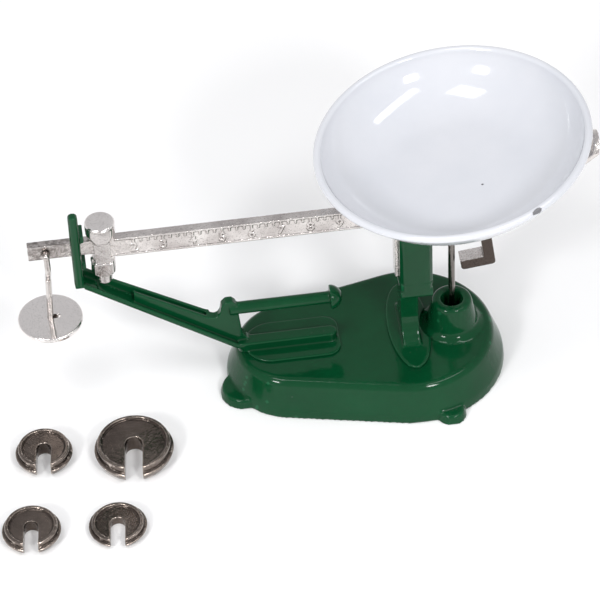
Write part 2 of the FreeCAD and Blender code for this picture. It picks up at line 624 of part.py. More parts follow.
# ================================================================ beam
def make_beam():
    half = BEAM_THICK / 2
    bar = box(BAR_X0, GRADED_X0, -half, half, BEAM_TOP - BEAM_TIP_TALL, BEAM_TOP)
    bar = bar.fuse(box(GRADED_X0, BLOCK_X0 + LAP, -half, half, BAR_LOW, BEAM_TOP))
    block_half = BLOCK_THICK / 2
    bar = bar.fuse(box(BLOCK_X0, BLOCK_X1, -block_half, block_half, BLOCK_LOW, BEAM_TOP))
    # the block widens beyond the fork and splits into the two tines of the yoke
    z0 = PIVOT_Z - YOKE_TALL / 2
    z1 = PIVOT_Z + YOKE_TALL / 2
    web_x0 = PRONG_X1 + SIDE_GAP
    bar = bar.fuse(box(BLOCK_X1 - LAP, web_x0 + LAP, -block_half, block_half, z0, z1))
    bar = bar.fuse(box(web_x0, web_x0 + YOKE_THICK, -YOKE_OUT, YOKE_OUT, z0, z1))
    for sign in (-1, 1):
        y0, y1 = sorted((sign * YOKE_IN, sign * YOKE_OUT))
        bar = bar.fuse(box(web_x0, YOKE_NOSE, y0, y1, z0, z1))
    reach = YOKE_OUT + CUT_OVER
    bar = bar.cut(y_pin(FULCRUM_X, PIVOT_Z, PIN_R, -reach, reach))
    bar = bar.cut(y_pin(0, PIVOT_Z, PIN_R, -reach, reach))
    bar = bar.cut(y_pin(HANGER_X, HANGER_Z, WIRE_R + HANGER_EYE_GAP, -reach, reach))
    return bar.fuse(make_beam_marks())


def make_beam_marks():
    """Raised border lines and division ticks on the beam's front face."""
    y1 = -BEAM_THICK / 2
    y0 = y1 - BEAM_RELIEF
    x0 = TICK_X0 + BORDER_START
    x1 = BLOCK_X0 - SIDE_GAP
    solids = [
        box(x0, x1, y0, y1, BEAM_TOP - BEAM_BORDER, BEAM_TOP),
        box(x0, x1, y0, y1, BAR_LOW, BAR_LOW + BEAM_BORDER),
    ]
    tick_top = BEAM_TOP - BEAM_BORDER
    for index in range(TICKS_PER_STEP, TICK_COUNT * TICKS_PER_STEP + 1):
        x = TICK_X0 + index * TICK_STEP / TICKS_PER_STEP
        drop = TICK_LONG if index % TICKS_PER_STEP == 0 else TICK_SHORT
        solids.append(box(x - TICK_WIDTH / 2, x + TICK_WIDTH / 2, y0, y1, tick_top - drop, tick_top))
    marks = solids[0]
    for solid in solids[1:]:
        marks = marks.fuse(solid)
    return marks


def make_fulcrum_pin():
    return y_pin(FULCRUM_X, PIVOT_Z, PIN_R, -FORK_OUT, FORK_OUT)


def make_pan_knife():
    return y_pin(0, PIVOT_Z, PIN_R, -YOKE_OUT, YOKE_OUT)


# ================================================================ poise
def make_poise():
    top = BEAM_TOP + POISE_OVER
    body = turned([
        (0, KNOB_LOW),
        (POISE_KNOB_R - KNOB_SOFT, KNOB_LOW),
        (POISE_KNOB_R, KNOB_LOW + KNOB_SOFT),
        (POISE_KNOB_R, KNOB_TOP - KNOB_SOFT),
        (POISE_WAIST_R, KNOB_TOP - WAIST_LOW),
        (POISE_WAIST_R, BEAM_TOP - WAIST_HIGH),
        (POISE_TOP_R - HEAD_SOFT, BEAM_TOP + HEAD_SPREAD),
        (POISE_TOP_R, BEAM_TOP + HEAD_FULL),
        (POISE_TOP_R, top - HEAD_SOFT),
        (POISE_TOP_R - HEAD_SOFT, top),
        (0, top),
    ], POISE_X)
    half = BEAM_THICK / 2 + BEAM_RELIEF + SLIDE_GAP
    reach = POISE_TOP_R + CUT_OVER
    slot = box(POISE_X - reach, POISE_X + reach, -half, half, KNOB_TOP, BEAM_TOP + SLIDE_GAP)
    return body.cut(slot)


def make_poise_tip():
    return turned([
        (0, POISE_LOW),
        (POISE_TIP_R - TIP_SOFT, POISE_LOW),
        (POISE_TIP_R, POISE_LOW + TIP_SOFT),
        (POISE_TIP_R, KNOB_LOW),
        (0, KNOB_LOW),
    ], POISE_X)


# ================================================================ hanger
def make_hanger_wire():
    """A bent wire: eye through the beam, straight leg, a kink, and a straight foot."""
    front = -(BEAM_THICK / 2 + BEAM_RELIEF + WIRE_R + WIRE_CLEAR)
    points = [
        V(HANGER_X, -front + WIRE_END_OVER, HANGER_Z),
        V(HANGER_X, front, HANGER_Z),
        V(HANGER_X + WIRE_LEAN, front, HANGER_Z - KINK_TOP),
        V(HANGER_X - WIRE_LEAN, 0, HANGER_Z - KINK_LOW),
        V(HANGER_X + HANG_OFFSET, 0, HANGER_Z - HANGER_DROP - DISC_THICK),
    ]
    wire = rod(points[0], points[1], WIRE_R)
    for start, end in zip(points[1:], points[2:]):
        wire = wire.fuse(Part.makeSphere(WIRE_R, start)).fuse(rod(start, end, WIRE_R))
    return wire


def make_hanger_disc():
    centre = HANGER_X + HANG_OFFSET
    top = HANGER_Z - HANGER_DROP
    low = top - DISC_THICK
    disc = turned([
        (0, low),
        (DISC_R - DISC_SOFT, low),
        (DISC_R, low + DISC_SOFT),
        (DISC_R, top - DISC_SOFT),
        (DISC_R - DISC_SOFT, top),
        (0, top),
    ], centre)
    disc = disc.cut(make_hanger_wire())
    hole_x = centre + DISC_HOLE_X
    return disc.cut(rod(V(hole_x, 0, low - CUT_OVER), V(hole_x, 0, top + CUT_OVER), DISC_HOLE_R))


# ================================================================ pan carrier
def make_pan_seat():
    """Four-armed seat; the long arm ends in an upturned, pierced ear."""
    half = SEAT_ARM_WIDE / 2
    seat = Part.makeCylinder(SEAT_ROUND_R, SEAT_THICK, V(0, 0, SEAT_LOW))
    seat = seat.fuse(box(-SEAT_ARM_R, SEAT_ARM_R, -half, half, SEAT_LOW, SEAT_TOP))
    seat = seat.fuse(box(-half, half, -SEAT_ARM_R, SEAT_ARM_R, SEAT_LOW, SEAT_TOP))
    ear_top = SEAT_TOP + EAR_TALL
    bend = PAN_R - EAR_BEND
    ear = side_prism([
        (SEAT_ARM_R - LAP, SEAT_LOW),
        (bend + EAR_BEND_ROUND, SEAT_LOW),
        (PAN_R + EAR_KNEE, ear_top - EAR_KNEE_OUT_Z),
        (PAN_R + EAR_GAP + EAR_THICK, ear_top),
        (PAN_R + EAR_GAP, ear_top),
        (PAN_R - EAR_KNEE, ear_top - EAR_KNEE_IN_Z),
        (bend, SEAT_TOP),
        (SEAT_ARM_R - LAP, SEAT_TOP),
    ], -EAR_R, EAR_R)
    middle = ear_top - EAR_R
    round_end = rod(V(0, 0, middle), V(PAN_R + EAR_R, 0, middle), EAR_R)
    ear = ear.common(round_end.fuse(box(0, PAN_R + EAR_R, -EAR_R, EAR_R, 0, middle)))
    hole_in = V(PAN_R - EAR_HOLE_REACH, 0, ear_top - EAR_HOLE_HIGH)
    hole_out = V(PAN_R + EAR_HOLE_REACH, 0, ear_top - EAR_HOLE_LOW)
    return lean(seat.fuse(ear).cut(rod(hole_in, hole_out, EAR_HOLE_R)))


def make_stem():
    """Straight rod from the hub to the check link, with an eye for each pivot."""
    stem = rod(V(0, 0, LINK_Z), V(0, 0, HUB_LOW + LAP), STEM_R)
    for z in (PIVOT_Z, LINK_Z):
        stem = stem.fuse(y_pin(0, z, STEM_EYE_R, -EYE_HALF, EYE_HALF))
        stem = stem.cut(y_pin(0, z, PIN_R + RUN_GAP, -EYE_HALF - CUT_OVER, EYE_HALF + CUT_OVER))
    return stem.cut(lean(Part.makeCylinder(HUB_TOP_R, HUB_TALL + CUT_OVER, V(0, 0, HUB_LOW))))


def make_stem_hub():
    return lean(Part.makeCone(HUB_LOW_R, HUB_TOP_R, HUB_TALL, V(0, 0, HUB_LOW)))


def make_stirrup():
    """C-shaped keeper that hangs from the seat and passes below the yoke's nose."""
    half = STIRRUP_DEEP / 2
    drop = PAN_RIM_Z - STIRRUP_LOW_Z
    shift = math.tan(math.radians(PAN_TILT)) * drop
    x0 = STIRRUP_X0 - shift
    x1 = STIRRUP_X1 - shift
    low = PAN_RIM_Z - drop / math.cos(math.radians(PAN_TILT)) - STIRRUP_SAG
    post = box(x1 - STIRRUP_POST, x1, -half, half, low, SEAT_LOW)
    body = post.fuse(box(x0, x1, -half, half, low, low + STIRRUP_BAR)).removeSplitter()
    corners = []
    for edge in body.Edges:
        middle = edge.CenterOfMass
        at_end = min(abs(middle.x - x0), abs(middle.x - x1)) < SEAT_GAP
        if at_end and abs(middle.z - low) < SEAT_GAP:
            corners.append(edge)
    return lean(body.makeFillet(STIRRUP_ROUND, corners)).cut(make_stem_hub())


# ================================================================ check link
def make_link():
    """Bar that keeps the stem upright: one eye on the anchor pin, two cheeks on the stem."""
    cheek_in = EYE_HALF + CHEEK_GAP
    cheek_out = cheek_in + LINK_CHEEK
    low = LINK_Z - LINK_TALL / 2
    high = LINK_Z + LINK_TALL / 2
    bridge_x1 = -STEM_EYE_R - BRIDGE_GAP
    bridge_x0 = bridge_x1 - BRIDGE_THICK
    bar = box(FULCRUM_X, bridge_x0, -LINK_HALF, LINK_HALF, low, high)
    bar = bar.fuse(y_pin(FULCRUM_X, LINK_Z, STEM_EYE_R, -LINK_HALF, LINK_HALF))
    bar = bar.fuse(box(bridge_x0, bridge_x1, -cheek_out, cheek_out, low, high))
    for sign in (-1, 1):
        y0, y1 = sorted((sign * cheek_in, sign * cheek_out))
        bar = bar.fuse(box(bridge_x1, 0, y0, y1, low, high))
        bar = bar.fuse(y_pin(0, LINK_Z, LINK_TALL / 2, y0, y1))
    bar = bar.cut(y_pin(FULCRUM_X, LINK_Z, PIN_R + RUN_GAP, -LINK_HALF, LINK_HALF))
    return bar.cut(y_pin(0, LINK_Z, PIN_R, -cheek_out, cheek_out))


def make_link_anchor_pin():
    reach = LUG_Y0 + LUG_THICK
    return y_pin(FULCRUM_X, LINK_Z, PIN_R, -reach, reach)


def make_link_stem_pin():
    reach = EYE_HALF + CHEEK_GAP + LINK_CHEEK
    return y_pin(0, LINK_Z, PIN_R, -reach, reach)


# ================================================================ pan
def make_pan():
    rim = PAN_RIM_Z
    low = rim - PAN_DEEP
    wall = PAN_R - PAN_BEAD_R
    dish = turned([
        (0, low),
        (PAN_BOTTOM_R, low),
        (PAN_BOTTOM_R + BEND_OUT, low + BEND_UP),
        (wall, rim - LIP_LOW),
        (wall - LIP_SOFT, rim + LIP_RISE),
        (wall - PAN_THICK, rim - LIP_RISE),
        (PAN_BOTTOM_R + BEND_IN, low + BEND_UP + BEND_SKIN),
        (PAN_BOTTOM_R - FLOOR_IN, low + PAN_THICK),
        (0, low + PAN_THICK),
    ])
    dish = dish.fuse(Part.makeTorus(wall, PAN_BEAD_R, V(0, 0, rim)))
    dish.translate(V(PAN_SHIFT, 0, 0))
    return lean(dish)


# ================================================================ weights
def make_weight(x, y, radius, thick, slot):
    """Disc with a raised rim, a ledge outside the rim, and a slot for the hanger's wire."""
    soft = WEIGHT_SOFT
    rim_out = radius - WEIGHT_STEP
    rim_in = rim_out - WEIGHT_WALL
    ledge = thick * WEIGHT_LEDGE
    body = turned([
        (0, 0),
        (radius - WEIGHT_UNDER, 0),
        (radius - WEIGHT_BELLY, ledge / 2),
        (radius, ledge - soft),
        (radius - soft, ledge),
        (rim_out, ledge),
        (rim_out, thick - soft),
        (rim_out - soft, thick),
        (rim_in + soft, thick),
        (rim_in, thick - WEIGHT_SINK),
        (0, thick - WEIGHT_SINK),
    ])
    cutter = box(0, radius + CUT_OVER, -slot / 2, slot / 2, -CUT_OVER, thick + CUT_OVER)
    cutter = cutter.fuse(Part.makeCylinder(slot / 2, thick + 2 * CUT_OVER, V(0, 0, -CUT_OVER)))
    body = body.cut(cutter)
    body.rotate(V(0, 0, 0), V(0, 0, 1), WEIGHT_TURN)
    body.translate(V(x, y, 0))
    return body


# ================================================================ all parts
def main():
    os.makedirs("parts", exist_ok=True)
    save("base_casting", make_base())
    save("fork_pillar", make_pillar())
    save("pillar_screws", make_pillar_screws())
    save("fulcrum_bearings", make_bearings())
    save("arm_bracket", make_arm())
    save("bracket_rivets", make_plate_rivets())
    save("beam_bar", make_beam())
    save("fulcrum_pin", make_fulcrum_pin())
    save("pan_knife_pin", make_pan_knife())
    save("poise_body", make_poise())
    save("poise_tip", make_poise_tip())
    save("hanger_wire", make_hanger_wire())
    save("hanger_disc", make_hanger_disc())
    save("pan_seat", make_pan_seat())
    save("stem_hub", make_stem_hub())
    save("pan_stem", make_stem())
    save("keeper_stirrup", make_stirrup())
    save("check_link", make_link())
    save("link_anchor_pin", make_link_anchor_pin())
    save("link_stem_pin", make_link_stem_pin())
    save("pan_dish", make_pan())
    for name, x, y, radius, thick, slot in WEIGHTS:
        save(name, make_weight(x, y, radius, thick, slot))


main()
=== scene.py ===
# %% [markdown]
# # A miniature counter scale
# The object is a small die-cast counter scale: a green enamelled stand, a bright nickel beam
# with raised numbers, a sliding poise, a wire hanger, a white enamelled pan and four loose
# slotted weights. The first cell loads the finished mechanical model. Every later piece is
# placed from it, so nothing has to be fitted by eye.

# %% Load the mechanical model
import json
import math

import bpy
import bmesh
from mathutils import Matrix, Vector, noise


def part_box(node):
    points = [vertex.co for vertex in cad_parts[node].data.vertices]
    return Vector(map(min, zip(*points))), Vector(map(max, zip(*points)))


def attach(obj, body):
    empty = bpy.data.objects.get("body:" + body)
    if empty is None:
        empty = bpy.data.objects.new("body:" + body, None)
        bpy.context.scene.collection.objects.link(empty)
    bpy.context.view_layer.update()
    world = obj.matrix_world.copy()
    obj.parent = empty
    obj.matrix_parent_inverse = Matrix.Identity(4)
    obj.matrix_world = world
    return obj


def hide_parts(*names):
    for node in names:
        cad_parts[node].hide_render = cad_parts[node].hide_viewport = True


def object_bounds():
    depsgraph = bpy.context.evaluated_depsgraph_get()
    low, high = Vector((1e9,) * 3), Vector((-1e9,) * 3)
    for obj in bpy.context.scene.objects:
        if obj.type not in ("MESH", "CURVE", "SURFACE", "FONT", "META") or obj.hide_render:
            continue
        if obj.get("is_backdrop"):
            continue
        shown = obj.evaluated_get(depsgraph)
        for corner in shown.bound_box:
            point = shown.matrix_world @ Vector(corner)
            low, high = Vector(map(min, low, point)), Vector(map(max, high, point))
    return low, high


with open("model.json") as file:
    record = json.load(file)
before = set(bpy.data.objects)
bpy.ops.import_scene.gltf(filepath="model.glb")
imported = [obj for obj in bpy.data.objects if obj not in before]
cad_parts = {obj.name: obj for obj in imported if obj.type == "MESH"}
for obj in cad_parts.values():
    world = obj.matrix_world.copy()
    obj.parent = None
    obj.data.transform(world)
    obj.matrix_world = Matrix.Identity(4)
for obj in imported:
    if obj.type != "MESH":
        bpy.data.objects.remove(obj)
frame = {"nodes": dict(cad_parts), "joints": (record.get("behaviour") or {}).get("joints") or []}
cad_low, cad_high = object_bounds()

MM = 0.001
PER_MM = 1 / MM
print("size mm", [round(v / MM, 2) for v in cad_high - cad_low])

# %% [markdown]
# ## The camera
# A small object is best seen from a distance with a long lens, because a close camera makes
# its near end look too big. The camera looks down at about 45 degrees, a little from the
# left, and it is rolled by three degrees, which tips the level beam up to the right. A camera
# can be aimed with a constraint, but turning it by three named angles is plainer.

# %% Camera
ELEVATION = 44.9        # degrees above the table
AZIMUTH = -5.35         # degrees round from straight in front
ROLL = 2.87             # degrees about the line of sight
DISTANCE = 0.380        # metres from the point that it looks at
LENS = 210              # millimetres, on a 36 mm sensor
AIM = Vector((-16.90, -1.56, 12.23)) * MM


def make_camera():
    data = bpy.data.cameras.new("studio_camera")
    data.lens = LENS
    data.clip_start = 0.01
    data.clip_end = 10
    camera = bpy.data.objects.new("studio_camera", data)
    bpy.context.scene.collection.objects.link(camera)
    turn = Matrix.Rotation(math.radians(AZIMUTH), 4, "Z")
    tip = Matrix.Rotation(math.radians(90 - ELEVATION), 4, "X")
    roll = Matrix.Rotation(math.radians(-ROLL), 4, "Z")
    back = Matrix.Translation((0, 0, DISTANCE))
    camera.matrix_world = Matrix.Translation(AIM) @ turn @ tip @ back @ roll
    bpy.context.scene.camera = camera
    return camera


print("camera at mm", [round(v / MM, 1) for v in make_camera().matrix_world.translation])

# %% [markdown]
# ## The studio
# Shiny metal shows its surroundings more than its own colour, so the studio matters as much
# as the materials. A white table fills the lower half of every reflection. Two square
# softboxes stand in front, left and right: they make the paired window highlights on the
# paint. Two wider lamps higher up draw the long highlights in the pan and a bright line along
# the upper edges. The world behind is pale, so nothing mirrors a black void.

# %% Floor, lamps and world
TABLE_SIZE = 3.0
TABLE_WHITE = 0.92
TABLE_GAP = 0.02        # the table lies this far under the model, in millimetres
SOFTBOX_FAR = 0.55
HORIZON_LEVEL = 0.78    # brightness of the world at the level of the eye
CEILING_LEVEL = 0.51    # and high overhead
CEILING_START = 0.85    # sine of the elevation where the ceiling's level is reached
HORIZON_BLUE = 1.01     # a little more blue than red and green
CEILING_BLUE = 1.03
# name, azimuth, elevation, width and height in metres, watts
SOFTBOXES = (
    ("left_softbox", -42, 33, 0.095, 0.095, 1.05),
    ("right_softbox", 22, 38, 0.085, 0.085, 0.85),
    ("left_strip", -52, 67, 0.18, 0.14, 0.52),
    ("right_strip", 56, 61, 0.36, 0.075, 0.62),
)


def from_angles(azimuth, elevation, far):
    a = math.radians(azimuth)
    e = math.radians(elevation)
    return Vector((math.sin(a) * math.cos(e), -math.cos(a) * math.cos(e), math.sin(e))) * far


def make_lamp(name, azimuth, elevation, width, height, power):
    data = bpy.data.lights.new(name, "AREA")
    data.shape = "RECTANGLE"
    data.size = width
    data.size_y = height
    data.energy = power
    lamp = bpy.data.objects.new(name, data)
    bpy.context.scene.collection.objects.link(lamp)
    out = from_angles(azimuth, elevation, SOFTBOX_FAR)
    lamp.location = AIM + out
    lamp.rotation_mode = "QUATERNION"
    lamp.rotation_quaternion = out.to_track_quat("Z", "Y")


def make_world():
    """A pale horizon that falls to a dimmer ceiling."""
    world = bpy.data.worlds.new("studio_world")
    world.use_nodes = True
    tree = world.node_tree
    tree.nodes.clear()
    place = tree.nodes.new("ShaderNodeTexCoord")
    split = tree.nodes.new("ShaderNodeSeparateXYZ")
    ramp = tree.nodes.new("ShaderNodeValToRGB")
    shade = tree.nodes.new("ShaderNodeBackground")
    out = tree.nodes.new("ShaderNodeOutputWorld")
    for stop, position, level, blue in (
        (0, 0.0, HORIZON_LEVEL, HORIZON_BLUE),
        (1, CEILING_START, CEILING_LEVEL, CEILING_BLUE),
    ):
        element = ramp.color_ramp.elements[stop]
        element.position = position
        element.color = (level, level, level * blue, 1)
    tree.links.new(place.outputs["Generated"], split.inputs[0])
    tree.links.new(split.outputs["Z"], ramp.inputs["Fac"])
    tree.links.new(ramp.outputs["Color"], shade.inputs["Color"])
    tree.links.new(shade.outputs[0], out.inputs["Surface"])
    bpy.context.scene.world = world


def make_table(low_z):
    data = bpy.data.meshes.new("table_top")
    half = TABLE_SIZE / 2
    corners = [(x * half, y * half, low_z) for x, y in ((-1, -1), (1, -1), (1, 1), (-1, 1))]
    data.from_pydata(corners, [], [(0, 1, 2, 3)])
    table = bpy.data.objects.new("table_top", data)
    bpy.context.scene.collection.objects.link(table)
    paint = bpy.data.materials.new("table_paint")
    paint.use_nodes = True
    shader = paint.node_tree.nodes["Principled BSDF"]
    shader.inputs["Base Color"].default_value = (TABLE_WHITE, TABLE_WHITE, TABLE_WHITE, 1)
    shader.inputs["Roughness"].default_value = 0.9
    shader.inputs["Specular IOR Level"].default_value = 0.1
    data.materials.append(paint)
    table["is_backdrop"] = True


for lamp_row in SOFTBOXES:
    make_lamp(*lamp_row)
make_world()
make_table(cad_low.z - TABLE_GAP * MM)
view = bpy.context.scene.view_settings
view.view_transform = "Standard"
view.look = "None"
view.exposure = 0.0
print("studio: %d lamps" % len(SOFTBOXES))

# %% [markdown]
# ## Tools for the workshop
# Three small helpers make nearly every piece. The first builds a mesh object from points.
# The second turns an outline about an axis, as a lathe does. The third is for castings: it
# takes copies of closed solids, melts them into one skin by a voxel remesh, and smooths it,
# which rounds every edge and fills every corner as thick paint and die casting do. A bevel
# modifier could round edges too, but it fails where many small faces meet. The remesh works
# in millimetres: in metres the modifier's panel stops at a tenth of a millimetre, which is
# too coarse for so small a thing.


# %% Mesh helpers
def link_mesh(name, mesh):
    piece = bpy.data.objects.new(name, mesh)
    bpy.context.scene.collection.objects.link(piece)
    return piece


def smooth_faces(mesh):
    mesh.polygons.foreach_set("use_smooth", [True] * len(mesh.polygons))
    mesh.update()


def arc(centre_r, centre_z, radius, start, end, steps):
    """Points of (radius, z) on an arc, angles in degrees from the outward direction."""
    points = []
    for index in range(steps + 1):
        angle = math.radians(start + (end - start) * index / steps)
        points.append((centre_r + radius * math.cos(angle), centre_z + radius * math.sin(angle)))
    return points


def lathe(name, outline, steps):
    """Turn a closed outline of (radius, z), in millimetres, about the Z axis."""
    mesh = bpy.data.meshes.new(name)
    shape = bmesh.new()
    rings = []
    for radius, z in outline:
        if radius < 1e-6:
            rings.append([shape.verts.new((0, 0, z * MM))] * steps)
            continue
        ring = []
        for index in range(steps):
            angle = 2 * math.pi * index / steps
            place = Vector((radius * math.cos(angle), radius * math.sin(angle), z))
            ring.append(shape.verts.new(place * MM))
        rings.append(ring)
    count = len(rings)
    for row in range(count):
        lower, upper = rings[row], rings[(row + 1) % count]
        if lower[0] is lower[1] and upper[0] is upper[1]:
            continue
        for index in range(steps):
            after = (index + 1) % steps
            corners = []
            for corner in (lower[index], lower[after], upper[after], upper[index]):
                if corner not in corners:
                    corners.append(corner)
            shape.faces.new(corners)
    bmesh.ops.recalc_face_normals(shape, faces=shape.faces)
    shape.to_mesh(mesh)
    shape.free()
    smooth_faces(mesh)
    return link_mesh(name, mesh)


def melt(name, meshes, voxel, passes):
    """Melt closed meshes into one skin: voxel size in millimetres, then smoothing passes."""
    shape = bmesh.new()
    for mesh in meshes:
        shape.from_mesh(mesh)
    bmesh.ops.scale(shape, vec=(PER_MM, PER_MM, PER_MM), verts=shape.verts)
    joined = bpy.data.meshes.new(name + "_rough")
    shape.to_mesh(joined)
    shape.free()
    rough = link_mesh(name + "_rough", joined)
    remesh = rough.modifiers.new("skin", "REMESH")
    remesh.mode = "VOXEL"
    remesh.voxel_size = voxel
    remesh.use_smooth_shade = True
    smooth = rough.modifiers.new("soften", "SMOOTH")
    smooth.factor = 0.5
    smooth.iterations = passes
    graph = bpy.context.evaluated_depsgraph_get()
    skin = bpy.data.meshes.new_from_object(rough.evaluated_get(graph))
    bpy.data.objects.remove(rough)
    bpy.data.meshes.remove(joined)
    skin.name = name
    skin.transform(Matrix.Scale(MM, 4))
    smooth_faces(skin)
    return link_mesh(name, skin)


def settle(piece, body, finish, slot, *nodes):
    """Give a piece its finish, its body and the nodes that it stands for."""
    piece.data.materials.clear()
    piece.data.materials.append(finish)
    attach(piece, body)
    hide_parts(*nodes)
    count = len(piece.data.vertices) if piece.type == "MESH" else 0
    print("%s: %d points" % (piece.name, count))


def cad_mesh(node):
    return frame["nodes"][node].data


# %% [markdown]
# ## Shared surface effects
# Materials are built from a few shared effects. Each effect is a node group that puts out a
# number which changes over the surface, and each material uses it with its own values. Paint
# skin is the faint waviness of thick enamel, with specks of dust under it. Cast grain is the
# uneven surface of a plated casting. Edge light finds where the surface bends, so that the
# materials can put a painted highlight on an edge and painted shade in a corner. Tarnish is a
# slow cloudy change.


# %% Node helpers
def add(tree, kind, **values):
    """Make a node and set its inputs or properties by name."""
    made = tree.nodes.new(kind)
    for name, value in values.items():
        label = name.replace("_", " ")
        if label in made.inputs:
            made.inputs[label].default_value = value
        else:
            setattr(made, name, value)
    return made


def join(tree, source, target):
    tree.links.new(source, target)


def new_group(name, inputs, outputs):
    """An empty node group with float inputs (name, default) and float outputs."""
    tree = bpy.data.node_groups.new(name, "ShaderNodeTree")
    for label, value in inputs:
        socket = tree.interface.new_socket(
            name=label, in_out="INPUT", socket_type="NodeSocketFloat")
        socket.default_value = value
    for label in outputs:
        tree.interface.new_socket(name=label, in_out="OUTPUT", socket_type="NodeSocketFloat")
    enter = tree.nodes.new("NodeGroupInput")
    leave = tree.nodes.new("NodeGroupOutput")
    return tree, enter, leave


def use_group(tree, group, **values):
    made = tree.nodes.new("ShaderNodeGroup")
    made.node_tree = group
    for name, value in values.items():
        made.inputs[name.replace("_", " ")].default_value = value
    return made


def scaled(tree, socket):
    """A place vector from an object's own coordinates, times a number in a socket."""
    place = tree.nodes.new("ShaderNodeTexCoord")
    grow = tree.nodes.new("ShaderNodeVectorMath")
    grow.operation = "SCALE"
    join(tree, place.outputs["Object"], grow.inputs[0])
    join(tree, socket, grow.inputs["Scale"])
    return grow.outputs[0]


def maths(tree, operation, first, second):
    made = tree.nodes.new("ShaderNodeMath")
    made.operation = operation
    for index, value in enumerate((first, second)):
        if isinstance(value, (int, float)):
            made.inputs[index].default_value = value
        else:
            join(tree, value, made.inputs[index])
    return made.outputs[0]


def spread(tree, socket, low, high, to_low=0.0, to_high=1.0):
    made = tree.nodes.new("ShaderNodeMapRange")
    made.inputs["From Min"].default_value = low
    made.inputs["From Max"].default_value = high
    made.inputs["To Min"].default_value = to_low
    made.inputs["To Max"].default_value = to_high
    join(tree, socket, made.inputs["Value"])
    return made.outputs["Result"]


# %% Paint skin: waves and dust specks
def make_paint_skin():
    tree, enter, leave = new_group(
        "paint_skin",
        [("Waves per mm", 0.5), ("Specks per mm", 0.7), ("Speck height", 0.5)],
        ["Height"])
    waves = add(tree, "ShaderNodeTexNoise", Scale=PER_MM, Detail=2.0, Roughness=0.45)
    join(tree, scaled(tree, enter.outputs["Waves per mm"]), waves.inputs["Vector"])
    specks = add(tree, "ShaderNodeTexVoronoi", Scale=PER_MM, Randomness=1.0)
    join(tree, scaled(tree, enter.outputs["Specks per mm"]), specks.inputs["Vector"])
    dots = spread(tree, specks.outputs["Distance"], low=0.10, high=0.02)
    chosen = add(tree, "ShaderNodeTexNoise", Scale=0.4 * PER_MM, Detail=0.0)
    few = spread(tree, chosen.outputs["Fac"], low=0.56, high=0.60)
    dots = maths(tree, "MULTIPLY", dots, few)
    dots = maths(tree, "MULTIPLY", dots, enter.outputs["Speck height"])
    join(tree, maths(tree, "ADD", waves.outputs["Fac"], dots), leave.inputs["Height"])
    return tree


PAINT_SKIN = make_paint_skin()
print("group", PAINT_SKIN.name)


# %% Cast grain: lumps, grit and pits
PIT_DEPTH = 0.3         # against the height of the lumps


def make_cast_grain():
    tree, enter, leave = new_group(
        "cast_grain",
        [("Lumps per mm", 1.5), ("Grit per mm", 7.0), ("Grit share", 0.4)],
        ["Height", "Pits"])
    lumps = add(
        tree, "ShaderNodeTexNoise", Scale=PER_MM, Detail=3.0, Roughness=0.55, Distortion=0.3)
    join(tree, scaled(tree, enter.outputs["Lumps per mm"]), lumps.inputs["Vector"])
    grit = add(tree, "ShaderNodeTexNoise", Scale=PER_MM, Detail=2.0, Roughness=0.6)
    join(tree, scaled(tree, enter.outputs["Grit per mm"]), grit.inputs["Vector"])
    gritty = maths(tree, "MULTIPLY", grit.outputs["Fac"], enter.outputs["Grit share"])
    height = maths(tree, "ADD", lumps.outputs["Fac"], gritty)
    pits = spread(tree, grit.outputs["Fac"], low=0.42, high=0.30)
    sunk = maths(tree, "MULTIPLY", pits, PIT_DEPTH)
    join(tree, maths(tree, "SUBTRACT", height, sunk), leave.inputs["Height"])
    join(tree, pits, leave.inputs["Pits"])
    return tree


CAST_GRAIN = make_cast_grain()
print("group", CAST_GRAIN.name)


# %% Painted edge light and shade, and tarnish
# Pointiness masks: Edge is where a painted highlight goes, Corner is where painted shade goes.
def make_painted_edge_light():
    tree, enter, leave = new_group(
        "painted_edge_light",
        [("Edge start", 0.52), ("Edge full", 0.58),
         ("Corner start", 0.494), ("Corner full", 0.455)],
        ["Edge", "Corner"])
    shape = tree.nodes.new("ShaderNodeNewGeometry")
    for label in ("Edge", "Corner"):
        mask = tree.nodes.new("ShaderNodeMapRange")
        join(tree, shape.outputs["Pointiness"], mask.inputs["Value"])
        join(tree, enter.outputs[label + " start"], mask.inputs["From Min"])
        join(tree, enter.outputs[label + " full"], mask.inputs["From Max"])
        join(tree, mask.outputs["Result"], leave.inputs[label])
    return tree


CLOUD_EDGES = {"low": 0.35, "high": 0.65}       # the noise's middle, where clouds fade


def make_tarnish():
    tree, enter, leave = new_group("tarnish", [("Clouds per mm", 0.3)], ["Cloud", "Fine"])
    cloud = add(tree, "ShaderNodeTexNoise", Scale=PER_MM, Detail=4.0, Roughness=0.6)
    place = scaled(tree, enter.outputs["Clouds per mm"])
    join(tree, place, cloud.inputs["Vector"])
    fine = add(tree, "ShaderNodeTexNoise", Scale=6 * PER_MM, Detail=3.0, Roughness=0.65)
    join(tree, place, fine.inputs["Vector"])
    join(tree, spread(tree, cloud.outputs["Fac"], **CLOUD_EDGES), leave.inputs["Cloud"])
    join(tree, spread(tree, fine.outputs["Fac"], **CLOUD_EDGES), leave.inputs["Fine"])
    return tree


PAINTED_EDGE_LIGHT = make_painted_edge_light()
TARNISH = make_tarnish()
print("groups", PAINTED_EDGE_LIGHT.name, TARNISH.name)

# %% [markdown]
# ## Finishes
# Each finish mixes two or three colours by the shared effects, varies its roughness, and
# ends in a bump. The enamel is darker in slow clouds where it pools, has painted shade in its
# corners and a painted highlight on its edges. The nickel is cast and plated, so it stays
# bright but never smooth. The weights have a brown-black plating, with a painted highlight on
# their ridges and painted shade in their grooves.


# %% Finish helpers
def new_finish(name):
    finish = bpy.data.materials.new(name)
    finish.use_nodes = True
    tree = finish.node_tree
    return finish, tree, tree.nodes["Principled BSDF"]


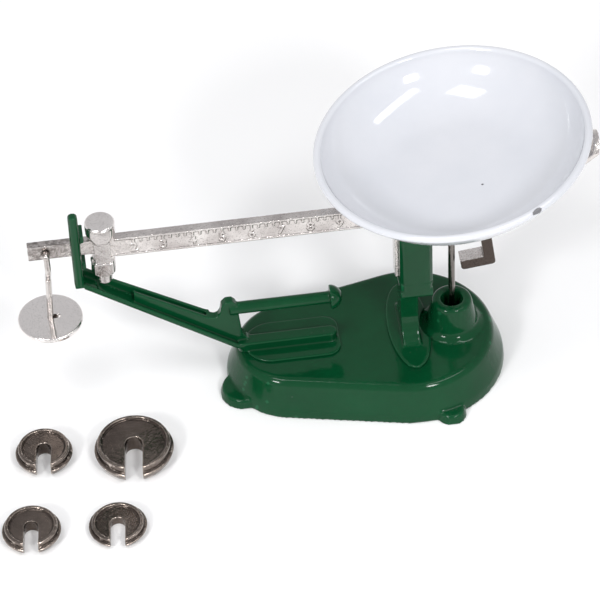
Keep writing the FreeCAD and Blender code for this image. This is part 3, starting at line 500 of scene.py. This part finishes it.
def blend_colours(tree, mask, first, second):
    """Mix two colours, each a tuple or a socket, by a mask socket."""
    made = tree.nodes.new("ShaderNodeMix")
    made.data_type = "RGBA"
    for index, value in ((6, first), (7, second)):
        if isinstance(value, tuple):
            made.inputs[index].default_value = value + (1,)
        else:
            join(tree, value, made.inputs[index])
    join(tree, mask, made.inputs[0])
    return made.outputs[2]


def vary_roughness(tree, shader, mask, least, most):
    rough = spread(tree, mask, 0, 1, least, most)
    join(tree, rough, shader.inputs["Roughness"])


def part_of(tree, mask, share):
    """A mask times a number, so that it reaches only a share of its strength."""
    return maths(tree, "MULTIPLY", mask, share)


def bump(tree, shader, height, depth_mm):
    made = tree.nodes.new("ShaderNodeBump")
    made.inputs["Distance"].default_value = depth_mm * MM
    join(tree, height, made.inputs["Height"])
    join(tree, made.outputs["Normal"], shader.inputs["Normal"])


# %% Green enamel
# The deepest green goes into random darker clouds and, as painted shade, into corners; the
# lightest green is a painted highlight on edges.
GREEN_CLOUD_AND_SHADE = (0.0009, 0.024, 0.0075)
GREEN_BODY = (0.0018, 0.053, 0.0175)
GREEN_HIGHLIGHT = (0.0120, 0.115, 0.0480)


def make_green_enamel():
    finish, tree, shader = new_finish("green_enamel")
    skin = use_group(tree, PAINT_SKIN, Waves_per_mm=0.45, Specks_per_mm=0.55, Speck_height=0.25)
    edge = use_group(tree, PAINTED_EDGE_LIGHT, Edge_start=0.515, Edge_full=0.60)
    cloud = use_group(tree, TARNISH, Clouds_per_mm=0.12)
    pooled = part_of(tree, cloud.outputs["Cloud"], share=0.35)
    colour = blend_colours(tree, pooled, GREEN_BODY, GREEN_CLOUD_AND_SHADE)
    # painted shade in the corners
    colour = blend_colours(tree, edge.outputs["Corner"], colour, GREEN_CLOUD_AND_SHADE)
    # painted highlight on the edges
    edge_highlight = part_of(tree, edge.outputs["Edge"], share=0.55)
    colour = blend_colours(tree, edge_highlight, colour, GREEN_HIGHLIGHT)
    join(tree, colour, shader.inputs["Base Color"])
    vary_roughness(tree, shader, cloud.outputs["Fine"], least=0.07, most=0.13)
    shader.inputs["Specular IOR Level"].default_value = 0.24
    bump(tree, shader, skin.outputs["Height"], depth_mm=0.035)
    return finish


GREEN_ENAMEL = make_green_enamel()

# %% Cast nickel and polished nickel
NICKEL_BRIGHT = (0.78, 0.74, 0.715)
NICKEL_BUFFED = (0.95, 0.91, 0.89)
NICKEL_DULL = (0.40, 0.36, 0.345)
# The darkest nickel colour is painted shade, put into corners and into the grain's sunk pits.
NICKEL_PAINTED_SHADE = (0.10, 0.085, 0.075)
# This brown is painted shade on front faces and in the disc's hole, and darker patches on the
# beam's end.
NICKEL_BROWN = (0.062, 0.046, 0.038)
DISC_HOLE_X = -43.45    # middle of the painted shade spot, a little left of the hole's middle
HOLE_SHADE_SPOT = (0.42, 0.34)    # half length and half width of the painted shade spot there
PLAIN_END_X = -40.5     # the beam's plain end lies to the left of this, in millimetres
END_FADE = 1.0          # its darker patches come in over this length
FRONT_START, FRONT_FULL = -0.55, -0.85      # Y of the normal where the painted shade on front faces begins and is full
FRONT_SHARE = 0.97
# the weaker painted shade on front faces is this share of the full one
WEAK_SHADE_SHARE = 0.36
NICKEL_CLOUDS = 0.35    # clouds of tarnish per millimetre


def front_face_shade(tree):
    """Painted shade, darker and browner, on faces that look to the front."""
    shape = tree.nodes.new("ShaderNodeTexCoord")
    split = tree.nodes.new("ShaderNodeSeparateXYZ")
    join(tree, shape.outputs["Normal"], split.inputs[0])
    return part_of(tree, spread(tree, split.outputs["Y"], FRONT_START, FRONT_FULL), FRONT_SHARE)


def front_face_weak_shade(tree):
    """A weaker share of the same painted shade on the front faces."""
    return part_of(tree, front_face_shade(tree), WEAK_SHADE_SHARE)


def hole_shade(tree):
    """Painted black shade in the disc's small hole, beside the wire."""
    place = tree.nodes.new("ShaderNodeTexCoord")
    local = tree.nodes.new("ShaderNodeMapping")
    local.vector_type = "TEXTURE"
    local.inputs["Location"].default_value = (DISC_HOLE_X * MM, 0, 0)
    local.inputs["Scale"].default_value = (HOLE_SHADE_SPOT[0] * MM, HOLE_SHADE_SPOT[1] * MM, 1.0)
    join(tree, place.outputs["Object"], local.inputs["Vector"])
    length = tree.nodes.new("ShaderNodeVectorMath")
    length.operation = "LENGTH"
    join(tree, local.outputs[0], length.inputs[0])
    return spread(tree, length.outputs["Value"], low=1.05, high=0.90)


def dark_end_patches(tree):
    """Patchy darker brown on the beam's plain left end and round the hanger's eye."""
    place = tree.nodes.new("ShaderNodeTexCoord")
    split = tree.nodes.new("ShaderNodeSeparateXYZ")
    join(tree, place.outputs["Object"], split.inputs[0])
    end = spread(tree, split.outputs["X"], PLAIN_END_X * MM, (PLAIN_END_X - END_FADE) * MM)
    cloud = use_group(tree, TARNISH, Clouds_per_mm=NICKEL_CLOUDS)
    patches = spread(
        tree, cloud.outputs["Fine"], low=0.15, high=0.75, to_low=0.10, to_high=0.62)
    return maths(tree, "MULTIPLY", end, patches)


def make_nickel(name, grain_sizes, depth, roughness, dull_share, browned=None,
                bright=NICKEL_BRIGHT):
    """Plated metal; a brown mask, if given, marks the places painted darker brown."""
    finish, tree, shader = new_finish(name)
    lumps, grit, grit_share = grain_sizes
    grain = use_group(
        tree, CAST_GRAIN, Lumps_per_mm=lumps, Grit_per_mm=grit, Grit_share=grit_share)
    cloud = use_group(tree, TARNISH, Clouds_per_mm=NICKEL_CLOUDS)
    edge = use_group(tree, PAINTED_EDGE_LIGHT, Edge_start=0.51, Edge_full=0.60)
    dull = part_of(tree, cloud.outputs["Cloud"], dull_share)
    colour = blend_colours(tree, dull, bright, NICKEL_DULL)
    # painted shade in corners and in the sunk pits of the grain
    corners = part_of(tree, edge.outputs["Corner"], share=0.8)
    colour = blend_colours(tree, corners, colour, NICKEL_PAINTED_SHADE)
    pits = part_of(tree, grain.outputs["Pits"], share=0.5)
    colour = blend_colours(tree, pits, colour, NICKEL_PAINTED_SHADE)
    if browned:
        # darker brown where the mask says, painted shade on most pieces
        colour = blend_colours(tree, browned(tree), colour, NICKEL_BROWN)
    join(tree, colour, shader.inputs["Base Color"])
    vary_roughness(tree, shader, cloud.outputs["Fine"], *roughness)
    shader.inputs["Metallic"].default_value = 1.0
    bump(tree, shader, grain.outputs["Height"], depth)
    return finish


# name, (lumps per mm, grit per mm, grit share), bump depth in mm, (least, most roughness),
# share of dull clouds, mask of the darker brown places (painted shade on front faces and in
# the disc's hole, darker patches on the beam's end), bright colour
CAST_NICKEL = make_nickel(
    "cast_nickel", (1.4, 6.0, 0.25), 0.030, (0.14, 0.26), 0.30)
TURNED_NICKEL = make_nickel(
    "turned_nickel", (0.9, 9.0, 0.10), 0.025, (0.10, 0.24), 0.15, front_face_weak_shade, NICKEL_BUFFED)
BEAM_NICKEL = make_nickel(
    "beam_nickel", (1.4, 6.0, 0.25), 0.030, (0.14, 0.26), 0.60, dark_end_patches)
STIRRUP_NICKEL = make_nickel(
    "stirrup_nickel", (1.8, 6.0, 0.4), 0.050, (0.14, 0.30), 0.30, front_face_shade)
POLISHED_NICKEL = make_nickel(
    "polished_nickel", (0.30, 10.0, 0.04), 0.022, (0.05, 0.12), 0.05, hole_shade, NICKEL_BUFFED)
DRAWN_WIRE = make_nickel(
    "drawn_wire", (0.8, 12.0, 0.10), 0.015, (0.10, 0.20), 0.85)

# %% Gunmetal plating of the weights
# The brightest colour is a painted highlight on ridges; the darkest goes into random smoky clouds
# and, as painted shade, into grooves.
GUNMETAL_HIGHLIGHT = (0.66, 0.58, 0.52)
GUNMETAL_BODY = (0.200, 0.165, 0.143)
GUNMETAL_SMOKE_AND_SHADE = (0.045, 0.035, 0.030)


def make_gunmetal():
    finish, tree, shader = new_finish("gunmetal_plating")
    grain = use_group(tree, CAST_GRAIN, Lumps_per_mm=0.6, Grit_per_mm=4.5, Grit_share=0.30)
    cloud = use_group(tree, TARNISH, Clouds_per_mm=0.25)
    edge = use_group(
        tree, PAINTED_EDGE_LIGHT, Edge_start=0.510, Edge_full=0.56, Corner_start=0.497, Corner_full=0.470)
    smoky = part_of(tree, cloud.outputs["Cloud"], share=0.60)
    colour = blend_colours(tree, smoky, GUNMETAL_BODY, GUNMETAL_SMOKE_AND_SHADE)
    # painted shade in the grooves
    colour = blend_colours(tree, edge.outputs["Corner"], colour, GUNMETAL_SMOKE_AND_SHADE)
    # painted highlight on the ridges
    ridge_highlight = part_of(tree, edge.outputs["Edge"], share=0.75)
    colour = blend_colours(tree, ridge_highlight, colour, GUNMETAL_HIGHLIGHT)
    join(tree, colour, shader.inputs["Base Color"])
    vary_roughness(tree, shader, cloud.outputs["Fine"], least=0.08, most=0.18)
    shader.inputs["Metallic"].default_value = 1.0
    bump(tree, shader, grain.outputs["Height"], depth_mm=0.045)
    return finish


GUNMETAL = make_gunmetal()

# %% Brass of the bushes and steel of the pins
BRASS_BRIGHT = (0.62, 0.44, 0.17)
BRASS_DULL = (0.36, 0.24, 0.10)
STEEL_BRIGHT = (0.56, 0.55, 0.53)
STEEL_DULL = (0.34, 0.33, 0.32)


def make_plain_metal(name, bright, dull):
    finish, tree, shader = new_finish(name)
    grain = use_group(tree, CAST_GRAIN, Lumps_per_mm=1.2, Grit_per_mm=10.0, Grit_share=0.3)
    cloud = use_group(tree, TARNISH, Clouds_per_mm=0.6)
    colour = blend_colours(tree, cloud.outputs["Cloud"], bright, dull)
    join(tree, colour, shader.inputs["Base Color"])
    vary_roughness(tree, shader, cloud.outputs["Fine"], least=0.18, most=0.36)
    shader.inputs["Metallic"].default_value = 1.0
    bump(tree, shader, grain.outputs["Height"], depth_mm=0.02)
    return finish


BUSH_BRASS = make_plain_metal("bush_brass", BRASS_BRIGHT, BRASS_DULL)
PIN_STEEL = make_plain_metal("pin_steel", STEEL_BRIGHT, STEEL_DULL)
print("finishes", len(bpy.data.materials))

# %% [markdown]
# ## The stand
# The real stand is three zinc castings under one thick coat of paint: the egg-shaped hollow
# base with its guide boss, the forked pillar, and the long arm that carries the beam's guide
# and the rack for the weights. Their mechanical shapes are right but sharp, so each is melted
# from a copy of its own solid. The voxel sets the smallest detail that survives, and the
# passes set how thick the paint looks. Sculpting would do the rest, but two small rules that
# move points say it more exactly: the prongs get a slight crown, and the post that guides the
# beam gets a half-round front and a bend where it turns into the arm.

# %% Painted castings
painted_base = melt("painted_base", [cad_mesh("base_casting")], voxel=0.15, passes=12)
settle(painted_base, "stand", GREEN_ENAMEL, "green_enamel", "base_casting")

PRONG_OUTER = 0.8       # outer part of a prong's thickness that is crowned
PRONG_CROWN = 0.16      # how far its face falls back at its sides
PRONG_SAMPLE = 5.6      # this far down from its top the pillar is nothing but its prongs
PRONG_TALL = 8.6        # the crown reaches this far down


def crown_prongs(piece):
    """Give the flat outer faces of the two prongs a slight crown."""
    points = piece.data.vertices
    high = max(point.co.z for point in points) / MM
    prongs = [point for point in points if point.co.z / MM > high - PRONG_SAMPLE]
    left = min(point.co.x for point in prongs) / MM
    right = max(point.co.x for point in prongs) / MM
    out = max(abs(point.co.y) for point in prongs) / MM
    middle, half = (left + right) / 2, (right - left) / 2
    for point in points:
        y = point.co.y / MM
        deep = 1 - (out - abs(y)) / PRONG_OUTER
        if deep > 0 and point.co.z / MM > high - PRONG_TALL:
            side = (point.co.x / MM - middle) / half
            point.co.y -= math.copysign(PRONG_CROWN * side * side * min(deep, 1), y) * MM
    piece.data.update()


painted_pillar = melt("painted_pillar", [cad_mesh("fork_pillar")], voxel=0.09, passes=14)
crown_prongs(painted_pillar)
settle(painted_pillar, "stand", GREEN_ENAMEL, "green_enamel", "fork_pillar")

GUIDE_WIDE = 1.05       # width of the tall post that guides the beam
GUIDE_CROWN = 0.38      # how far the post's front is rounded back at its sides
GUIDE_DEEP = 0.95       # thickness of the front post
GUIDE_BEND = 1.0        # radius of the bend where the post turns into the arm
GUIDE_SUNK = 0.3        # the front post starts this far above the arm's underside
GUIDE_SLACK = 0.03      # allowance when the post's points are picked out


def round_guide(piece):
    """Round the guide post's front into a half round, and its foot into a bend."""
    points = piece.data.vertices
    left = min(point.co.x for point in points) / MM
    right = left + GUIDE_WIDE + GUIDE_SLACK
    post = [point for point in points if point.co.x / MM < right]
    front = min(point.co.y for point in post) / MM
    foot = min(point.co.z for point in post) / MM
    middle = left + GUIDE_WIDE / 2
    for point in post:
        deep = 1 - (point.co.y / MM - front) / GUIDE_DEEP
        if deep > 0 and point.co.z / MM > foot + GUIDE_BEND:
            side = (point.co.x / MM - middle) / (GUIDE_WIDE / 2)
            point.co.y += GUIDE_CROWN * side * side * deep * MM
    for point in points:
        low = foot + (GUIDE_SUNK if point.co.y / MM < front + GUIDE_DEEP else 0)
        dx = point.co.x / MM - left - GUIDE_BEND
        dz = point.co.z / MM - low - GUIDE_BEND
        far = math.hypot(dx, dz)
        if dx < 0 and dz < 0 and far > GUIDE_BEND:
            point.co.x = (left + GUIDE_BEND + dx * GUIDE_BEND / far) * MM
            point.co.z = (low + GUIDE_BEND + dz * GUIDE_BEND / far) * MM
    piece.data.update()


painted_arm = melt("painted_arm", [cad_mesh("arm_bracket")], voxel=0.085, passes=12)
round_guide(painted_arm)
settle(painted_arm, "stand", GREEN_ENAMEL, "green_enamel", "arm_bracket")

# %% [markdown]
# ## The beam
# The beam is one bright casting: a flat bar with a raised border, division marks and numbers
# on its front, a block over the fork, and a yoke under the pan. The numbers are made with
# text objects, turned upright and given thickness, and the marks are small blocks. They are
# melted into the bar, so that their edges are as soft as the mould left them. A small push
# along the normals, by a fixed noise, makes the uneven skin of a cheap casting real, not
# only painted on.


# %% Rough cast skin
FACING_UP = 0.6         # a normal whose Z is over this looks up
SMALL_LUMPS = 0.4       # size of the small lumps against the large ones
SMALL_SHARE = 0.5       # and their height


def roughen(piece, depth_mm, lump_mm, only_top=False):
    """Push points inwards by a smooth noise, all over or only where the skin faces up."""
    mesh = piece.data
    normals = [vertex.normal.copy() for vertex in mesh.vertices]
    places = []
    for vertex, normal in zip(mesh.vertices, normals):
        place = vertex.co.copy()
        if normal.z > FACING_UP or not only_top:
            value = noise.noise(place / (lump_mm * MM))
            value += SMALL_SHARE * noise.noise(place / (SMALL_LUMPS * lump_mm * MM))
            place -= normal * (depth_mm * MM * (0.5 + 0.5 * value))
        places.extend(place)
    mesh.vertices.foreach_set("co", places)
    mesh.update()


# %% Raised numbers
BEAM_TOP_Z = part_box("beam_bar")[1].z / MM
BAR_HALF = 0.475        # half of the bar's thickness, in millimetres
RELIEF = 0.12           # how far the figures stand out
FIGURE_TALL = 1.18
FONT_SIZE = 1.38        # size of the type against the height of its figures
FIGURE_FAT = 0.02       # the strokes are made this much thicker all round
FIGURE_MIDDLE = 1.58    # middle of the figures below the bar's top
DIVISION = 3.16         # from one number to the next
FIRST_FIGURE = -37.4
FIGURES = 10


def number_mesh(text, x_mm, z_mm):
    """A raised number that stands on the bar's front face."""
    data = bpy.data.curves.new("figure_" + text, "FONT")
    data.body = text
    data.size = FIGURE_TALL * FONT_SIZE * MM
    data.align_x = "CENTER"
    data.align_y = "CENTER"
    data.extrude = RELIEF * MM
    data.offset = FIGURE_FAT * MM
    figure = bpy.data.objects.new("figure_" + text, data)
    bpy.context.scene.collection.objects.link(figure)
    bpy.context.view_layer.update()
    graph = bpy.context.evaluated_depsgraph_get()
    mesh = bpy.data.meshes.new_from_object(figure.evaluated_get(graph))
    bpy.data.objects.remove(figure)
    place = Matrix.Translation(Vector((x_mm, -BAR_HALF, z_mm)) * MM)
    mesh.transform(place @ Matrix.Rotation(math.radians(90), 4, "X"))
    return mesh


figures = []
for index in range(FIGURES):
    x = FIRST_FIGURE + index * DIVISION
    figures.append(number_mesh(str(index + 1), x, BEAM_TOP_Z - FIGURE_MIDDLE))
print("figures", len(figures))

# %% Division marks
MARKS_PER_DIVISION = 4
MARK_WIDE = 0.17
MARK_LONG = 0.80        # the stem over each number
MARK_SHORT = 0.50
MARK_RELIEF = 0.10
MARK_TOP = 0.28         # below the bar's top, under its raised border


def mark_mesh(x_mm, tall_mm):
    """A raised mark that hangs from the border on the bar's front face."""
    shape = bmesh.new()
    middle = Vector((x_mm, -BAR_HALF, BEAM_TOP_Z - MARK_TOP - tall_mm / 2))
    size = Matrix.Diagonal((MARK_WIDE, 2 * MARK_RELIEF, tall_mm)).to_4x4()
    place = Matrix.Translation(middle * MM) @ size @ Matrix.Scale(MM, 4)
    bmesh.ops.create_cube(shape, size=1.0, matrix=place)
    mesh = bpy.data.meshes.new("mark")
    shape.to_mesh(mesh)
    shape.free()
    return mesh


marks = []
# from the second number to the last
for index in range(MARKS_PER_DIVISION, (FIGURES - 1) * MARKS_PER_DIVISION + 1):
    mark_tall = MARK_SHORT if index % MARKS_PER_DIVISION else MARK_LONG
    x = FIRST_FIGURE + index * DIVISION / MARKS_PER_DIVISION
    marks.append(mark_mesh(x, mark_tall))
print("marks", len(marks))

# %% Cast beam
cast_beam = melt("cast_beam", [cad_mesh("beam_bar")] + figures + marks, voxel=0.070, passes=1)
roughen(cast_beam, depth_mm=0.010, lump_mm=0.45)
roughen(cast_beam, depth_mm=0.055, lump_mm=0.6, only_top=True)
settle(cast_beam, "beam", BEAM_NICKEL, "bright_nickel", "beam_bar")

# %% [markdown]
# ## Poise, hanger and loose weights
# The poise is a turned and plated body with soft flats, front and rear, where a finger pushes
# it. Its solid is cut flat by blocks, and narrower blocks are added at the waist and the knob,
# so that the flats there stand out. One melt joins them all. The hanger is one bent wire,
# best made as a curve with a round section, over a thin disc. The weights are melted like
# the castings.


# %% Carving helper
def carve(piece, cutter):
    """Cut one closed solid out of another."""
    cut = piece.modifiers.new("carve", "BOOLEAN")
    cut.operation = "DIFFERENCE"
    cut.solver = "EXACT"
    cut.object = cutter
    graph = bpy.context.evaluated_depsgraph_get()
    mesh = bpy.data.meshes.new_from_object(piece.evaluated_get(graph))
    piece.modifiers.clear()
    piece.data = mesh
    bpy.data.objects.remove(cutter)


def block(name, low, high):
    shape = bmesh.new()
    bmesh.ops.create_cube(shape, size=1.0)
    for vertex in shape.verts:
        for axis in range(3):
            vertex.co[axis] = low[axis] if vertex.co[axis] < 0 else high[axis]
    mesh = bpy.data.meshes.new(name)
    shape.to_mesh(mesh)
    shape.free()
    return link_mesh(name, mesh)


# %% Poise
CUTTER_DEEP = 2         # a cutter reaches this far past the flat that it leaves
CUTTER_HALF = 3         # half its width, more than the poise's own
LAP = 0.2               # the waist's blocks go this far into the knob and the head
KNOB_LAP = 0.05         # the knob's blocks end this far below the waist
WAIST_HALF_X = 0.86     # half width of the poise's flats at the waist
KNOB_HALF_X = 1.00      # the same at the knob
KNOB_CHAMFER = 0.55     # the knob's flats start this far above its underside
FLAT_IN = 0.62          # inner face of the blocks that carry the flats
POISE_LOW, POISE_HIGH = [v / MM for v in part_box("poise_body")]
POISE_X = (POISE_LOW.x + POISE_HIGH.x) / 2
WAIST_Z0 = POISE_LOW.z + 2.0
WAIST_Z1 = BEAM_TOP_Z - 0.1
HEAD_Z1 = POISE_HIGH.z - 0.40
# low z, high z, distance of the flat from the middle
KNOB_FLAT = (POISE_LOW.z - 1.0, WAIST_Z0, 1.16)
WAIST_FLAT = (WAIST_Z0, WAIST_Z1, 1.04)
HEAD_FLAT = (WAIST_Z1, HEAD_Z1, 1.20)


def flat_block(name, side, inner, outer, half_x, z0, z1):
    """A block on the poise's front (side -1) or rear, between two distances from its middle."""
    y0, y1 = sorted((side * inner, side * outer))
    low = Vector((POISE_X - half_x, y0, z0)) * MM
    high = Vector((POISE_X + half_x, y1, z1)) * MM
    return block(name, low, high)


rough_poise = link_mesh("rough_poise", cad_mesh("poise_body").copy())
poise_parts = [rough_poise]
for side in (-1, 1):
    for z0, z1, flat_y in (KNOB_FLAT, WAIST_FLAT, HEAD_FLAT):
        outer = flat_y + CUTTER_DEEP
        carve(rough_poise, flat_block("poise_cutter", side, flat_y, outer, CUTTER_HALF, z0, z1))
    z0, z1, flat_y = WAIST_FLAT
    poise_parts.append(
        flat_block("waist_flat", side, FLAT_IN, flat_y, WAIST_HALF_X, z0 - LAP, z1 + LAP))
    z0, z1, flat_y = POISE_LOW.z + KNOB_CHAMFER, WAIST_Z0 - KNOB_LAP, KNOB_FLAT[2]
    poise_parts.append(flat_block("knob_flat", side, FLAT_IN, flat_y, KNOB_HALF_X, z0, z1))
turned_poise = melt(
    "turned_poise", [part.data for part in poise_parts], voxel=0.05, passes=2)
for part in poise_parts:
    bpy.data.objects.remove(part)
settle(turned_poise, "poise", TURNED_NICKEL, "bright_nickel", "poise_body")
poise_button = melt("poise_button", [cad_mesh("poise_tip")], voxel=0.04, passes=4)
settle(poise_button, "poise", TURNED_NICKEL, "bright_nickel", "poise_tip")


# %% Hanger wire and disc
def bent_wire(name, points_mm, radius_mm):
    data = bpy.data.curves.new(name, "CURVE")
    data.dimensions = "3D"
    data.bevel_depth = radius_mm * MM
    data.bevel_resolution = 8
    data.resolution_u = 10
    data.use_fill_caps = True
    line = data.splines.new("NURBS")
    line.points.add(len(points_mm) - 1)
    for point, place in zip(line.points, points_mm):
        point.co = (place[0] * MM, place[1] * MM, place[2] * MM, 1)
    line.order_u = 3
    line.use_endpoint_u = True
    wire = bpy.data.objects.new(name, data)
    bpy.context.scene.collection.objects.link(wire)
    return wire


WIRE_R = 0.34
hang_joint = next(j for j in frame["joints"] if j["name"] == "hanger_swing")
HANG_X = hang_joint["pos_m"][0] / MM
HANG_Z = hang_joint["pos_m"][2] / MM
WIRE_LOW, WIRE_HIGH = [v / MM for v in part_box("hanger_wire")]
FRONT_Y = WIRE_LOW.y + WIRE_R
FOOT_X = HANG_X - 0.3
# x, y, z of the points that the wire's middle line is drawn by
WIRE_ROUTE = (
    (HANG_X, WIRE_HIGH.y - 0.06, HANG_Z),
    (HANG_X, FRONT_Y + 0.35, HANG_Z),
    (HANG_X, FRONT_Y, HANG_Z - 0.05),
    (HANG_X + 0.04, FRONT_Y, HANG_Z - 0.5),
    (HANG_X + 0.05, FRONT_Y, HANG_Z - 2.4),
    (HANG_X - 0.03, FRONT_Y * 0.55, HANG_Z - 3.3),
    (HANG_X - 0.05, 0.0, HANG_Z - 4.1),
    (HANG_X - 0.08, 0.0, HANG_Z - 5.2),
    (FOOT_X, 0.0, WIRE_LOW.z + 0.02),
)
hanger_hook = bent_wire("hanger_hook", WIRE_ROUTE, WIRE_R)
settle(hanger_hook, "hanger", DRAWN_WIRE, "plain_steel", "hanger_wire")
hanger_plate = melt("hanger_plate", [cad_mesh("hanger_disc")], voxel=0.05, passes=3)
settle(hanger_plate, "hanger", POLISHED_NICKEL, "bright_nickel", "hanger_disc")

# %% Slotted weights
for weight_name, weight_body in (
    ("weight_large", "large_weight"),
    ("weight_small_thick", "thick_weight"),
    ("weight_small_medium", "medium_weight"),
    ("weight_small_thin", "thin_weight"),
):
    weight = melt("plated_" + weight_name, [cad_mesh(weight_name)], voxel=0.06, passes=8)
    settle(weight, weight_body, GUNMETAL, "dark_nickel", weight_name)

# %% [markdown]
# ## Pan and carrier
# The pan is spun sheet with a rolled rim under white enamel, so it is turned from an outline
# whose bottom, wall and bead run into each other in arcs. It leans with its carrier, and the
# lean is read from the slide joint along which it lifts off. The enamel has a dark chip on
# its rim and two specks, which are places in the finish.

# %% White enamel
lift_joint = next(j for j in frame["joints"] if j["name"] == "pan_lift")
LEAN = math.atan2(-lift_joint["axis"][0], lift_joint["axis"][2])
PAN_R = 14.84           # radius over the rolled rim
BEAD_R = 0.42           # radius of the roll
PAN_DEEP = 5.0          # the floor's underside, below the roll's middle
RIM_Z = 31.45           # height of the roll's middle on the stem's line
PAN_SHIFT = 0.15        # the pan sits this far to the right on its seat
PAN_PLACE = (Matrix.Translation((0, 0, RIM_Z * MM)) @ Matrix.Rotation(-LEAN, 4, "Y")
             @ Matrix.Translation((PAN_SHIFT * MM, 0, 0)))
CHIP_OUT, CHIP_IN = 1.50, 1.36      # where a chip's ragged edge starts and is full
CHIP_DEPTH = 2.0        # against the height of the enamel's waves
CHIP_COLOUR = (0.14, 0.14, 0.15)
ENAMEL_WHITE = (0.64, 0.65, 0.685)
ENAMEL_SHADE = (0.60, 0.615, 0.655)
# angle round the pan, radius, height from the rim's middle, half length, half width (mm)
CHIPS = (
    (-62.4, 14.72, 0.22, 0.62, 0.30),
    (-111.5, 14.80, -0.20, 0.16, 0.10),
    (-48.5, 3.45, -4.5, 0.14, 0.12),
)


def chip_mask(tree, angle, radius, height, long_half, wide_half):
    """One inside a ragged spot on the pan, nought outside it."""
    turn = math.radians(angle)
    flat = Vector((radius * math.cos(turn), radius * math.sin(turn), height))
    middle = PAN_PLACE @ (flat * MM)
    place = tree.nodes.new("ShaderNodeTexCoord")
    local = tree.nodes.new("ShaderNodeMapping")
    local.vector_type = "TEXTURE"
    local.inputs["Location"].default_value = middle
    local.inputs["Rotation"].default_value = (0, 0, turn)
    local.inputs["Scale"].default_value = (wide_half * MM, long_half * MM, wide_half * MM)
    join(tree, place.outputs["Object"], local.inputs["Vector"])
    length = tree.nodes.new("ShaderNodeVectorMath")
    length.operation = "LENGTH"
    join(tree, local.outputs[0], length.inputs[0])
    ragged = add(tree, "ShaderNodeTexNoise", Scale=3 * PER_MM, Detail=2.0)
    join(tree, place.outputs["Object"], ragged.inputs["Vector"])
    edge = maths(tree, "ADD", length.outputs["Value"], ragged.outputs["Fac"])
    return spread(tree, edge, CHIP_OUT, CHIP_IN)


def make_white_enamel():
    finish, tree, shader = new_finish("white_enamel")
    skin = use_group(
        tree, PAINT_SKIN, Waves_per_mm=0.22, Specks_per_mm=0.35, Speck_height=0.12)
    cloud = use_group(tree, TARNISH, Clouds_per_mm=0.08)
    chips = 0.0
    for chip in CHIPS:
        chips = maths(tree, "MAXIMUM", chips, chip_mask(tree, *chip))
    dents = part_of(tree, chips, CHIP_DEPTH)
    colour = blend_colours(tree, cloud.outputs["Cloud"], ENAMEL_WHITE, ENAMEL_SHADE)
    colour = blend_colours(tree, chips, colour, CHIP_COLOUR)
    join(tree, colour, shader.inputs["Base Color"])
    vary_roughness(tree, shader, chips, least=0.10, most=0.5)
    shader.inputs["Coat Weight"].default_value = 0.5
    shader.inputs["Coat Roughness"].default_value = 0.03
    height = maths(tree, "SUBTRACT", skin.outputs["Height"], dents)
    bump(tree, shader, height, depth_mm=0.03)
    return finish


WHITE_ENAMEL = make_white_enamel()

# %% Pan
WALL_SLOPE = 64         # degrees of the pan's wall above the level, at its rim
FLOOR_R = 6.95          # radius of the flat floor
OUTER_BEND = 8.3        # radius of the bend between floor and wall, outside
SHEET = 0.5             # thickness of the enamelled sheet
BEAD_FROM, BEAD_TO = -110, 168      # degrees of the roll, from the outward direction
BEAD_STEPS = 18
BEND_STEPS = 16
PAN_STEPS = 160         # steps round the pan


def pan_outline():
    bend = -90 + WALL_SLOPE
    wall_r = PAN_R - BEAD_R
    outline = [(0, -PAN_DEEP), (FLOOR_R / 2, -PAN_DEEP)]
    outline += arc(FLOOR_R, OUTER_BEND - PAN_DEEP, OUTER_BEND, -90, bend, BEND_STEPS)
    outline += arc(wall_r, 0, BEAD_R, BEAD_FROM, BEAD_TO, BEAD_STEPS)
    outline += arc(FLOOR_R, OUTER_BEND - PAN_DEEP, OUTER_BEND - SHEET, bend, -90, BEND_STEPS)
    outline += [(FLOOR_R / 2, SHEET - PAN_DEEP), (0, SHEET - PAN_DEEP)]
    return outline


enamel_pan = lathe("enamel_pan", pan_outline(), PAN_STEPS)
enamel_pan.data.transform(PAN_PLACE)
settle(enamel_pan, "pan", WHITE_ENAMEL, "white_enamel", "pan_dish")

# %% Carrier under the pan
cast_seat = melt("cast_seat", [cad_mesh("pan_seat")], voxel=0.08, passes=4)
settle(cast_seat, "carrier", CAST_NICKEL, "bright_nickel", "pan_seat")
cast_hub = melt("cast_hub", [cad_mesh("stem_hub")], voxel=0.06, passes=3)
settle(cast_hub, "carrier", CAST_NICKEL, "bright_nickel", "stem_hub")
cast_stirrup = melt("cast_stirrup", [cad_mesh("keeper_stirrup")], voxel=0.055, passes=4)
roughen(cast_stirrup, depth_mm=0.05, lump_mm=0.4, only_top=True)
settle(cast_stirrup, "carrier", STIRRUP_NICKEL, "bright_nickel", "keeper_stirrup")

# %% [markdown]
# ## Small parts that keep their mechanical shape
# Pins, bushes, screws, rivets, the stem and the check link are simple turned or sawn pieces.
# Their mechanical shapes are already true, so they only get a finish of their own.

# %% Finishes for the small parts
SMALL_PARTS = {
    "pillar_screws": PIN_STEEL,
    "fulcrum_pin": PIN_STEEL,
    "pan_knife_pin": PIN_STEEL,
    "link_anchor_pin": PIN_STEEL,
    "link_stem_pin": PIN_STEEL,
    "check_link": PIN_STEEL,
    "fulcrum_bearings": BUSH_BRASS,
    "bracket_rivets": GREEN_ENAMEL,
    "pan_stem": DRAWN_WIRE,
}
for node_name, node_finish in SMALL_PARTS.items():
    node = frame["nodes"][node_name]
    if not node.material_slots:
        node.data.materials.append(node_finish)
    for place in node.material_slots:
        place.material = node_finish
print("small parts", len(SMALL_PARTS))

# %% Sizes and finish
seen_low, seen_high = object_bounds()
grown = [cad_low - seen_low, seen_high - cad_high]
print("grown by mm", [[round(v / MM, 3) for v in corner] for corner in grown])
